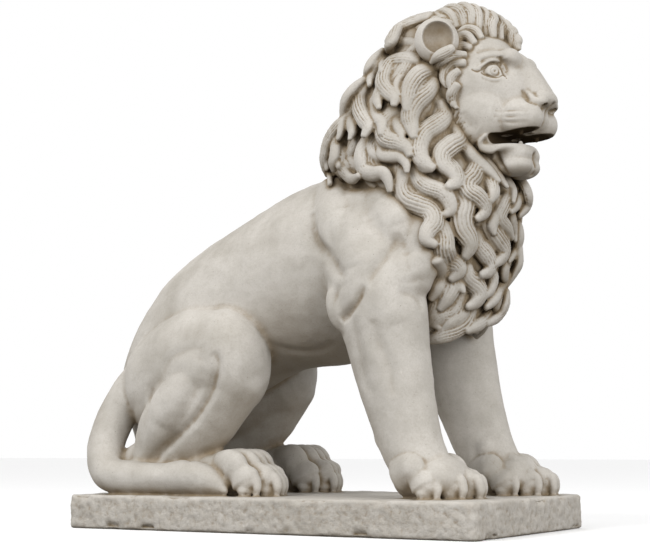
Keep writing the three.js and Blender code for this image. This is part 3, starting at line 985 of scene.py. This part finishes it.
def on_mane(z, bearing, lift):
    """A point at a height and a bearing from the front, lifted off the mane's mass, and its outward way."""
    x, width, depth = mane_section(z)
    turn = math.radians(bearing)
    out = Vector((math.cos(turn) / depth, math.sin(turn) / width, 0)).normalized()
    return Vector((x + depth * math.cos(turn), width * math.sin(turn), z)) + out * lift, out


def small_lock(clay, top, bearing, fall, side):
    phase, steps = chance.uniform(0, 1), SMALL_LOCK["steps"]
    rise = BACK_RISE if bearing > BACK_BEARING else 0
    if top > NAPE and (side > 0 or bearing > BACK_BEARING):
        rise = NAPE_RISE
    places, ways = [], []
    for k in range(steps + 1):
        s = k / steps
        aside = WAVE * math.sin(2 * math.pi * (WAVES * s + phase)) + HOOK * s**3
        radius = max(mane_section(top - fall * s)[1], SLIMMEST)
        at = bearing - SWING * s + math.degrees(aside / radius)
        place, out = on_mane(top - fall * s, side * at, rise + ROOT_RISE + TIP_RISE * s)
        places.append(place)
        ways.append(list(out))
    lock(clay, places, ways, SMALL_LOCK["half_width"] * chance.uniform(*WIDTH_CHANCE), sides=54, rows=36)


hem_bearings, hem_heights = zip(*HEM)
for row in range(TIERS):
    top = TIER_TOP - TIER_STEP * row
    around = math.pi * sum(mane_section(top)[1:]) / 2
    count = round(around / SMALL_LOCK["spacing"])
    for side in SIDES:
        for n in range(count):
            bearing = 180 * (n + 0.5 * (row % 2) + 0.25) / count + chance.uniform(-TURN_CHANCE, TURN_CHANCE)
            hem = float(np.interp(bearing, hem_bearings, hem_heights))
            fall = min(SMALL_LOCK["fall"] * chance.uniform(*FALL_CHANCE), top - hem)
            off_face = top < FACE_LOW or on_mane(top, bearing, 0)[0].x < FACE_BACK
            if fall > SHORTEST_FALL and off_face and bearing < 180:
                start = top + chance.uniform(-HEIGHT_CHANCE, HEIGHT_CHANCE)
                small_lock(manes[side], start, bearing, fall, side)
print("locks", {side: len(clay) for side, clay in manes.items()})
MANE_GRAIN = 2.0
manes = {side: fused(clay, voxel=MANE_GRAIN, rounds=1) for side, clay in manes.items()}

# %% [markdown]
# Over the forehead the hair stands up in short tufts that curl back over the crown, and smaller ones lie
# before the ear. They are drawn in the picture too, and thrown onto the head in place of the mane. The
# forelock is three layers deep.

# %% Forelock
FORELOCK = [
    [(456, 27), (452, 17), (446, 12), (439, 13), (433, 17)],
    [(464, 26), (461, 14), (456, 9), (449, 8), (442, 10)],
    [(471, 28), (471, 14), (467, 8), (461, 6), (454, 8)],
    [(478, 32), (478, 18), (476, 10), (471, 7), (464, 7)],
    [(486, 35), (485, 21), (485, 14), (481, 10), (475, 9)],
    [(493, 37), (492, 25), (494, 19), (491, 14), (485, 11)],
    [(500, 39), (499, 29), (501, 24), (499, 19), (493, 15)],
    [(507, 42), (506, 33), (508, 28), (505, 23), (500, 20)],
    [(513, 45), (512, 38), (513, 33), (510, 29), (506, 26)],
    [(518, 49), (517, 44), (518, 40), (515, 36), (511, 33)],
]
TEMPLE = [
    [(481, 38), (475, 31), (466, 29), (458, 32)],
    [(474, 43), (467, 36), (460, 37), (453, 41), (447, 46)],
    [(470, 48), (461, 46), (453, 49), (446, 53)],
    [(465, 55), (453, 55), (444, 59), (439, 64), (436, 71), (436, 78)],
    [(464, 63), (453, 64), (447, 69), (444, 75), (444, 81), (447, 87)],
    [(458, 71), (452, 77), (451, 85), (455, 93)],
    [(452, 48), (444, 53), (437, 57), (431, 63)],
    [(457, 85), (452, 93), (452, 101), (456, 108)],
]
TUFT_HALF_WIDTH, TUFT_STRANDS = 12, (12, 13, 14)
TUFT_ASIDE, TUFT_CHANCE = 4, (0.9, 1.1)
FORELOCK_LAYERS = ((0, 0), (-24, -6), (-48, -14))
STRIDE, TUFT_LIFT, TUFT_UP = 14, 5, 0.3
FARTHEST_TUFT, MIRRORED_TUFT = 6, -12


def rooted(tree, line):
    """Picture points that start on the head and stay near it, without jumps, and the way to the viewer."""
    places, outs, far = [], [], None
    for place in line:
        sight = line_of_sight(place)
        reached = tree.ray_cast(viewpoint * MM, sight)[3]
        seen = reached / MM - TUFT_LIFT if reached else (far or DISTANCE) + STRIDE
        seen = min(seen, (FARTHEST_TUFT - viewpoint.y) / sight.y)
        far = seen if far is None else min(max(seen, far - STRIDE), far + STRIDE)
        places.append(np.array(viewpoint + sight * far))
        outs.append(np.array(-sight) + (0, 0, TUFT_UP))
    return np.array(places), np.array(outs)


face = as_tree(head)
clay.append(head)
for lines, layers in ((FORELOCK, FORELOCK_LAYERS), (TEMPLE, FORELOCK_LAYERS[:1])):
    for line in lines:
        places, outs = rooted(face, line)
        for behind, above in layers:
            shift = (behind, chance.uniform(-TUFT_ASIDE, TUFT_ASIDE) if behind else 0, above)
            width = TUFT_HALF_WIDTH * chance.uniform(*TUFT_CHANCE)
            make = {"half_width": width, "sides": 60, "rows": 40, "strands": TUFT_STRANDS}
            lock(clay, places + shift, outs, **make)
            if places[:, 1].mean() < MIRRORED_TUFT:
                lock(clay, (places + shift) * FLIP, outs * FLIP, **make)
print("tufts drawn", len(FORELOCK) + len(TEMPLE))

# %% [markdown]
# Behind the forelock more tufts follow the dome of the crown, in rows over the top to the back, each bent a
# little to one side by lot.

# %% Tufts of the crown
CROWN_ROWS, TUFTS_IN_ROW, CROWN_SPREAD = (88, 106, 124, 142, 160), 8, 62
ASIDE_CHANCE, BEND_CHANCE, CROWN_TUFT_WIDTH = 4, 9, (12, 16)
# Degrees on from the row, a share of the bend, and millimetres off the dome.
CROWN_TUFT = [(-8, 0, -6), (6, 1, 3), (18, -0.4, 8), (30, 0, 6)]
HEAD_GRAIN = 1.5


def on_crown(over, aside, lift):
    """A point on the crown's dome: degrees over the top from the front, and sideways."""
    a, b = math.radians(over), math.radians(aside)
    out = np.array([math.cos(a) * math.cos(b), math.sin(b), math.sin(a) * math.cos(b)])
    return CROWN + (CROWN_SIZE + lift) * out, out


for over in CROWN_ROWS:
    for n in range(TUFTS_IN_ROW):
        aside = CROWN_SPREAD * (2 * (n + 0.5) / TUFTS_IN_ROW - 1)
        aside += chance.uniform(-ASIDE_CHANCE, ASIDE_CHANCE)
        bend = chance.uniform(-BEND_CHANCE, BEND_CHANCE)
        route = [(over + on, aside + share * bend, lift) for on, share, lift in CROWN_TUFT]
        places, outs = zip(*(on_crown(*step) for step in route))
        lock(clay, places, outs, chance.uniform(*CROWN_TUFT_WIDTH), sides=54, rows=36)
head = fused(clay, voxel=HEAD_GRAIN, rounds=1)

# %% [markdown]
# A fringe of small curls runs down the cheek where the mane begins. They are shallow strokes, scattered by
# lot along a line from the ear to the chin.

# %% Fringe of the cheek
FRINGE = [[370, 109, 912], [374, 108, 892], [381, 105, 868], [392, 102, 844], [406, 92, 820], [424, 76, 798]]
WISPS, WISP_ASIDE, WISP_HALF_WIDTH, WISP_DEPTH = 46, (-4, 16), 2.5, (0.6, 1.8)
WISP_CURL = [(0, 0), (-9, -7), (-13, -18)]
wisps = []
for side in SIDES:
    for _ in range(WISPS):
        x, y, z = through(FRINGE, np.array([chance.random()]))[0]
        x += chance.uniform(*WISP_ASIDE)
        curl = [[x + on, side * y, z + down] for on, down in WISP_CURL]
        wisps.append((curl, WISP_HALF_WIDTH, chance.uniform(*WISP_DEPTH)))
carve(head, wisps)
print("curls of the fringe", len(wisps))

# %% [markdown]
# The iris is a shallow ring cut into the eyeball, and the pupil a deeper dot. Both are placed by angles round
# the eye, towards the nose and up.

# %% Iris and pupil
EYE_TURN = 32
IRIS, IRIS_LOOK, IRIS_STEPS = 25, (6, 2), 17
IRIS_HALF_WIDTH, IRIS_DEPTH = 2.0, 1.0
PUPIL, PUPIL_HALF_WIDTH, PUPIL_DEPTH = (0, 3), 3.5, 2.5


def around_eye(across, height, side, reach):
    """A point over the eyeball, from angles towards the nose and up, in degrees."""
    turn = math.radians(across - 90 + EYE_TURN)
    rise = math.radians(height)
    flat = Vector((math.cos(turn) * math.cos(rise), math.sin(turn) * math.cos(rise), math.sin(rise)))
    place = Vector((EYE.x, -EYE.y, EYE.z)) + flat * reach
    return [place.x, -side * place.y, place.z]


for side in SIDES:
    ring = []
    for turn in np.linspace(0, 2 * math.pi, IRIS_STEPS):
        across, height = IRIS_LOOK[0] + IRIS * math.cos(turn), IRIS_LOOK[1] + IRIS * math.sin(turn)
        ring.append(around_eye(across, height, side, EYE_RADIUS))
    pupil = [around_eye(IRIS_LOOK[0] + step, IRIS_LOOK[1] + step, side, EYE_RADIUS) for step in PUPIL]
    edges = [(ring, IRIS_HALF_WIDTH, IRIS_DEPTH), (pupil, PUPIL_HALF_WIDTH, PUPIL_DEPTH)]
    carve(head, edges, fade=0)

# %% [markdown]
# The eye looks alive by its edges: a thick upper lid with a crease over it, a thin lower lid, the long
# line at the outer corner and the tear at the inner one. They are cut along picture lines, grooves beside
# ridges.

# %% Eyelids
LID_FADE = 0.15
EYE_LINES = [
    ([(480, 62), (485, 59), (491, 57), (498, 57.5)], 4.5, 2.0),
    ([(476, 69.5), (484, 64.5), (491, 60.5), (498.5, 61), (503, 66), (505.5, 72)], 3.2, -2.8),
    ([(471, 69), (478, 71), (486, 66.4), (492, 63.6), (498, 64.4), (501.5, 69),
      (503.5, 74), (507, 79)], 2.2, 3.6),
    ([(481, 74.5), (487, 78.2), (494, 80), (501, 79)], 3.2, -2.5),
    ([(480, 71.5), (487, 75.4), (494, 77), (500, 76), (504, 75)], 2.0, 2.8),
]
face = as_tree(head)
for line, width, depth in EYE_LINES:
    carve(head, both_sides([(on_near_side(face, line), width, depth)]), fade=LID_FADE)

# %% [markdown]
# Dirt gathers and shade falls where a place is closed in by stone, so each point gets three numbers that
# paint brown dirt and painted shade there. The first is measured on the full skins: how far the point lies
# under the mean of its neighbours, as in the furrow between strands.

# %% How far a point lies in a crease
CREASE_ROUNDS = 5
SPREAD = (2, 25, 50, 75, 90, 98)


def mark_creases(mesh, grain):
    """How far each point lies under the mean of its neighbours, compared on one grain, stored on the mesh."""
    ends = np.empty(2 * len(mesh.edges), dtype=np.int32)
    mesh.edges.foreach_get("vertices", ends)
    one, other = ends.reshape(-1, 2).T
    points = read_points(mesh) / MM
    neighbours = np.bincount(np.concatenate([one, other]), minlength=len(points))[:, None]
    soft = points
    for _ in range(CREASE_ROUNDS):
        total = [np.bincount(one, soft[other, k], len(points)) + np.bincount(other, soft[one, k], len(points))
                 for k in range(3)]
        soft = 0.5 * soft + 0.5 * np.array(total).T / neighbours
    depth = np.sum((soft - points) * read_points(mesh, "normal"), axis=1) * (MANE_GRAIN / grain) ** 2
    mesh.attributes.new("crease", "FLOAT", "POINT").data.foreach_set("value", depth.astype(np.float32))
    print("creases", np.round(np.percentile(depth, SPREAD), 2))


skins = {
    "lion_head": (head, HEAD_GRAIN),
    "lion_mane_right": (manes[-1], MANE_GRAIN),
    "lion_mane_left": (manes[1], MANE_GRAIN),
    "lion_body_and_slab": (body, BODY_GRAIN),
}
for mesh, grain in skins.values():
    mark_creases(mesh, grain)

# %% [markdown]
# The finished skins are thinned: Decimate merges faces where the stone is plain and keeps them where it
# is carved, so that the whole statue stays light enough to share. The points of the full skins are kept
# first, with the patch of surface that each stands for.

# %% The meshes of the statue
MOST_TRIANGLES = 196000


def thinned(name, mesh, most):
    triangles = sum(len(p.vertices) - 2 for p in mesh.polygons)
    mesh = modified(linked(name, mesh), ("DECIMATE", {"ratio": min(1, most / triangles)}))
    mesh.name = name
    mesh.shade_smooth()
    print(name, sum(len(p.vertices) - 2 for p in mesh.polygons), "triangles")
    return linked(name, mesh)


everywhere = [read_points(mesh) / MM for mesh, _ in skins.values()]
patch = np.concatenate([np.full(len(p), grain**2) for p, (_, grain) in zip(everywhere, skins.values())])
everywhere = np.vstack(everywhere)
pieces = [thinned(name, mesh, MOST_TRIANGLES) for name, (mesh, _) in skins.items()]

# %% [markdown]
# Two more numbers say how much surface lies round the air just above a point: all points are counted into
# small boxes and the count is blurred, once finely and once broadly. Rays could count it too, but they
# take far longer on so many points.

# %% How closed in a point lies
MARGIN = 10


def surface_count(points, weights, cell, rounds):
    """A blurred count of surface in boxes of a given size, as a function of place."""
    low = points.min(0) - MARGIN * cell
    shape = tuple(np.ceil((points.max(0) - low) / cell).astype(int) + MARGIN)
    boxes = np.ravel_multi_index(tuple(((points - low) / cell).astype(int).T), shape)
    grid = np.bincount(boxes, weights, np.prod(shape)).reshape(shape).astype(np.float32)
    for axis in (0, 1, 2):
        for _ in range(rounds):
            grid = 0.5 * grid + 0.25 * (np.roll(grid, 1, axis) + np.roll(grid, -1, axis))

    def sample(places):
        spot = (places - low) / cell - 0.5
        corner = np.floor(spot).astype(int)
        share = spot - corner
        total = 0
        for step in np.ndindex(2, 2, 2):
            weight = np.prod(np.where(step, share, 1 - share), axis=1)
            total = total + weight * grid[tuple((corner + step).T)]
        return total

    return sample

# %% [markdown]
# A cut is told by the head as it was before: what lies under that surface, near the slot or the cups, is
# inside. The deeper it lies, the more painted shade it gets: darkest inside the mouth, most on what faces
# down there, and brown dirt and painted shade in the cups of the ears.


# %% The shade in the cuts
MOUTH_SHADE, EAR_SHADE, BODY_SHADE = 3, 0.6, 0.7
CUT_RIM, MOUTH_RIM, EAR_RIM = 6, 0.6, 0.4
MOUTH_BAND, MOUTH_BACK = 20, 430
EAR_LOW, EAR_IN, EAR_FRONT = 985, 95, 400
# A box's size, the rounds of blur, and how far above the point it is read, in millimetres.
ENCLOSURES = {"crevice": (3, 4, 5), "hollow": (6, 8, 14)}


def cut_shade(points, normals):
    """Painted shade in the cuts: up to MOUTH_SHADE inside the mouth, more on what faces down, and EAR_SHADE
    of dirt and painted shade in the cups of the ears.
    """
    shade = np.zeros(len(points))
    level = np.interp(points[:, 0], [row[0] for row in MOUTH_SLOT], [row[2] for row in MOUTH_SLOT])
    mouth = (np.abs(points[:, 2] - level) < MOUTH_BAND) & (points[:, 0] > MOUTH_BACK)
    ear = (points[:, 2] > EAR_LOW) & (np.abs(points[:, 1]) > EAR_IN) & (points[:, 0] < EAR_FRONT)
    for k in np.flatnonzero(mouth | ear):
        nearest, out, _, far = uncut.find_nearest(points[k] * MM)
        if (Vector(points[k] * MM) - nearest).dot(out) < 0:
            if mouth[k]:
                # Painted shade, more on what faces down.
                shade[k] = MOUTH_SHADE * np.clip(far / MM / CUT_RIM - MOUTH_RIM - normals[k, 2], 0, 1)
            else:
                shade[k] = EAR_SHADE * np.clip(far / MM / CUT_RIM - EAR_RIM, 0, 1)
    return shade


for layer, (cell, rounds, above) in ENCLOSURES.items():
    count = surface_count(everywhere, patch, cell, rounds)
    values = [count(read_points(p.data) / MM + read_points(p.data, "normal") * above) for p in pieces]
    usual = np.median(np.concatenate(values))
    for piece, value in zip(pieces, values):
        value = value / usual - 1
        if layer == "hollow":
            # The cuts' painted shade joins the hollow number.
            value += cut_shade(read_points(piece.data) / MM, read_points(piece.data, "normal"))
            value = np.minimum(value, BODY_SHADE) if piece is pieces[-1] else value
        piece.data.attributes.new(layer, "FLOAT", "POINT").data.foreach_set("value", value.astype(np.float32))
        print(piece.name, layer, np.round(np.percentile(value, SPREAD), 2))

# %% [markdown]
# The stone is a pale warm grey with darker clouds, a fine grain, small pits, and brown dirt and painted shade
# in everything that lies deep. All of it is drawn by noise on Object coordinates, so it needs no unwrapping,
# and the dirt and painted shade read the three numbers stored on the mesh. First comes a helper that adds and
# links the nodes.

# %% A helper for nodes
class Shader:
    """Adds nodes to a material or a world and links them by socket name."""

    def __init__(self, owner):
        owner.use_nodes = True
        self.tree = owner.node_tree

    def node(self, kind, links=(), **settings):
        node = self.tree.nodes.new("ShaderNode" + kind)
        for name, value in settings.items():
            setattr(node, name, value)
        for socket, value in dict(links).items():
            self.feed(node.inputs[socket], value)
        return node

    def feed(self, socket, value):
        if isinstance(value, bpy.types.NodeSocket):
            self.tree.links.new(value, socket)
        else:
            socket.default_value = value

    def noise(self, place, scale, detail=4, rough=0.55):
        links = {"Vector": place, "Scale": scale, "Detail": detail, "Roughness": rough}
        return self.node("TexNoise", links).outputs["Fac"]

    def ramp(self, value, low, high, bottom=0.0, top=1.0):
        """The value stretched so that low gives the bottom and high gives the top."""
        links = {"Value": value, "From Min": low, "From Max": high, "To Min": bottom, "To Max": top}
        return self.node("MapRange", links).outputs["Result"]

    def mix(self, share, one, other):
        node = self.node("Mix", data_type="RGBA")
        for socket, value in ((0, share), (6, one), (7, other)):
            self.feed(node.inputs[socket], value)
        return node.outputs[2]

    def math(self, operation, *values):
        node = self.node("Math", operation=operation, use_clamp=False)
        for k, value in enumerate(values):
            self.feed(node.inputs[k], value)
        return node.outputs[0]

    def bump(self, height, strength, distance, under=None):
        links = {"Height": height, "Strength": strength, "Distance": distance}
        if under:
            links["Normal"] = under
        return self.node("Bump", links).outputs["Normal"]


# %% [markdown]
# The colours are laid one over another: clouds, blotches and grain on the whole stone, more dirt on the slab,
# then dirt and painted shade in hollows, crevices and creases, paler edges, painted shade under everything
# that faces down, the painted deep shade of the mouth and the deepest gaps, and pits last. Grain and pits
# also dent the surface a little.


# %% Stone
# The brown serves dirt and grain and also painted shade; the dark brown paints deep shade, with some dirt.
PALE, CLOUD = (0.505, 0.478, 0.438, 1), (0.36, 0.335, 0.295, 1)
DIRT_AND_SHADE, DARK_SHADE_AND_DIRT, PIT = (0.215, 0.165, 0.105, 1), (0.055, 0.038, 0.022, 1), (0.16, 0.13, 0.10, 1)
# The heights in metres where the slab's dirt begins and is full.
SLAB_TOP, SLAB_UNDER = 0.076, 0.066


def stone():
    # This material holds the stone's own colours and also painted shade.
    material = bpy.data.materials.new("weathered_stone_painted_shade")
    s = Shader(material)
    surface = s.tree.nodes["Principled BSDF"]
    place = s.node("TexCoord").outputs["Object"]
    height = s.node("SeparateXYZ", {"Vector": place}).outputs["Z"]
    normal_way = s.node("NewGeometry").outputs["Normal"]
    facing = s.node("SeparateXYZ", {"Vector": normal_way}).outputs["Z"]
    crevice, depth, crease = (s.node("Attribute", attribute_name=name).outputs["Fac"]
                              for name in ("crevice", "hollow", "crease"))
    clouds = s.noise(place, scale=9, detail=6, rough=0.6)
    grain = s.noise(place, scale=260, detail=3, rough=0.7)
    blotch = s.noise(place, scale=45, detail=5, rough=0.65)
    ragged = s.ramp(blotch, 0.3, 0.7, 0.55, 1.25)
    slab_share = s.ramp(height, SLAB_TOP, SLAB_UNDER)
    pits = s.node("TexVoronoi", {"Vector": place, "Scale": 150, "Randomness": 1.0}).outputs["Distance"]
    sparse = s.ramp(s.noise(place, scale=38, detail=2), 0.56, 0.70)
    pitted = s.math("MULTIPLY", s.ramp(pits, 0.2, 0.1, 0, 0.6), sparse)
    coats = [
        (s.ramp(clouds, 0.38, 0.68), CLOUD),
        (s.ramp(blotch, 0.52, 0.75, 0, 0.5), CLOUD),
        (s.ramp(grain, 0.45, 0.75, 0, 0.25), DIRT_AND_SHADE),
        (s.math("MULTIPLY", slab_share, s.ramp(blotch, 0.4, 0.65, 0.05, 0.45)), DIRT_AND_SHADE),
        # Dirt and painted shade in hollows, crevices and creases:
        (s.math("MULTIPLY", s.ramp(depth, -0.35, 0.65), ragged), DIRT_AND_SHADE),
        (s.math("MULTIPLY", s.ramp(crevice, -0.05, 0.9), ragged), DIRT_AND_SHADE),
        (s.math("MULTIPLY", s.ramp(crease, 0.02, 0.38), ragged), DIRT_AND_SHADE),
        (s.ramp(crevice, -0.1, -0.5, 0, 0.35), PALE),
        # Painted shade under everything that faces down:
        (s.ramp(facing, -0.1, -0.8, 0, 0.55), DIRT_AND_SHADE),
        # Painted deep shade, with some dirt, in the mouth and the deepest gaps:
        (s.ramp(depth, 0.45, 1.7), DARK_SHADE_AND_DIRT),
        (pitted, PIT),
    ]
    colour = PALE
    for share, tint in coats:
        colour = s.mix(share, colour, tint)
    s.feed(surface.inputs["Base Color"], colour)
    s.feed(surface.inputs["Roughness"], s.ramp(grain, 0.3, 0.7, 0.78, 0.92))
    s.feed(surface.inputs["Specular IOR Level"], s.ramp(depth, 0.0, 1.0, 0.22, 0.0))
    coarse = s.noise(place, scale=90, detail=6, rough=0.7)
    normal = s.bump(coarse, s.math("MULTIPLY_ADD", slab_share, 0.5, 0.22), distance=0.004)
    normal = s.bump(pitted, strength=0.5, distance=-0.002, under=normal)
    normal = s.bump(grain, strength=0.2, distance=0.001, under=normal)
    s.feed(surface.inputs["Normal"], normal)
    return material


stone_and_painted_shade = stone()
for piece in pieces:
    piece.data.materials.clear()
    piece.data.materials.append(stone_and_painted_shade)
    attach(piece, "root")
    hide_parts("lion_statue")

# %% [markdown]
# The stage is a pale floor in a white studio. It is a plain grid of one face, and it throws no light back on
# the stone.

# %% Floor
FLOOR_HALF, FLOOR_ROUGHNESS = 30, 0.9
FLOOR_COLOUR = (0.97, 0.97, 0.97, 1)
floor_form = bmesh.new()
bmesh.ops.create_grid(floor_form, x_segments=1, y_segments=1, size=FLOOR_HALF)
floor_mesh = bpy.data.meshes.new("floor")
floor_form.to_mesh(floor_mesh)
floor_form.free()
floor = linked("floor", floor_mesh)
floor.visible_diffuse = False
pale = bpy.data.materials.new("pale_floor")
coat = Shader(pale).tree.nodes["Principled BSDF"]
coat.inputs["Base Color"].default_value = FLOOR_COLOUR
coat.inputs["Roughness"].default_value = FLOOR_ROUGHNESS
floor_mesh.materials.append(pale)

# %% [markdown]
# The sky is white and dimmer below the horizon and to the right, so that the undersides and the right of
# each form stay darker, as in the photograph.

# %% Sky
# A direction, how far towards it the sky is dark and bright, and the least brightness.
SKY_SHADES = [
    (Vector((0, 0, 1)), -0.3, -0.02, 0.06),
    (-picture_right, -0.95, -0.3, 0.6),
]
world = bpy.data.worlds.new("studio")
sky = Shader(world)
way = sky.node("TexCoord").outputs["Generated"]
shares = []
for toward, dark, bright, least in SKY_SHADES:
    facing = sky.node("VectorMath", operation="DOT_PRODUCT")
    sky.feed(facing.inputs[0], way)
    sky.feed(facing.inputs[1], toward)
    shares.append(sky.ramp(facing.outputs["Value"], dark, bright, least))
background = sky.tree.nodes["Background"]
sky.feed(background.inputs["Strength"], sky.math("MULTIPLY", *shares))
sky.feed(background.inputs["Color"], (1, 1, 1, 1))
bpy.context.scene.world = world
bpy.context.scene.view_settings.view_transform = "Standard"

# %% [markdown]
# A large soft lamp stands at the left of the camera, as in the photograph, and a second one brightens the
# side towards the right.

# %% Lamps
# A place and an aim in metres, a width in metres and a power in watts.
LAMPS = {
    "key": ((-1.2, -3.2, 2.6), (0, 0, 0.6), 1.6, 75),
    "fill": ((3.4, -1.6, 1.2), (0, 0, 0.5), 2.4, 75),
}


def soft_light(name, place, aim, size, power):
    data = bpy.data.lights.new(name, "AREA")
    data.shape = "DISK"
    data.size = size
    data.energy = power
    light = linked(name, data)
    light.location = place
    light.rotation_euler = (Vector(aim) - Vector(place)).to_track_quat("-Z", "Y").to_euler()


for name, settings in LAMPS.items():
    soft_light(name, *settings)

# %% [markdown]
# The camera goes back to the photographer's place, with a lens that gives the picture its width in points.

# %% Camera
SENSOR = 36
camera_data = bpy.data.cameras.new("camera")
camera_data.sensor_width = SENSOR
camera_data.lens = SENSOR * FOCAL_PIXELS / PICTURE[0]
camera = linked("camera", camera_data)
camera.location = viewpoint * MM
camera.rotation_euler = (-back).to_track_quat("-Z", "Y").to_euler()
bpy.context.scene.camera = camera
print("camera lens", round(camera_data.lens, 2), "mm")
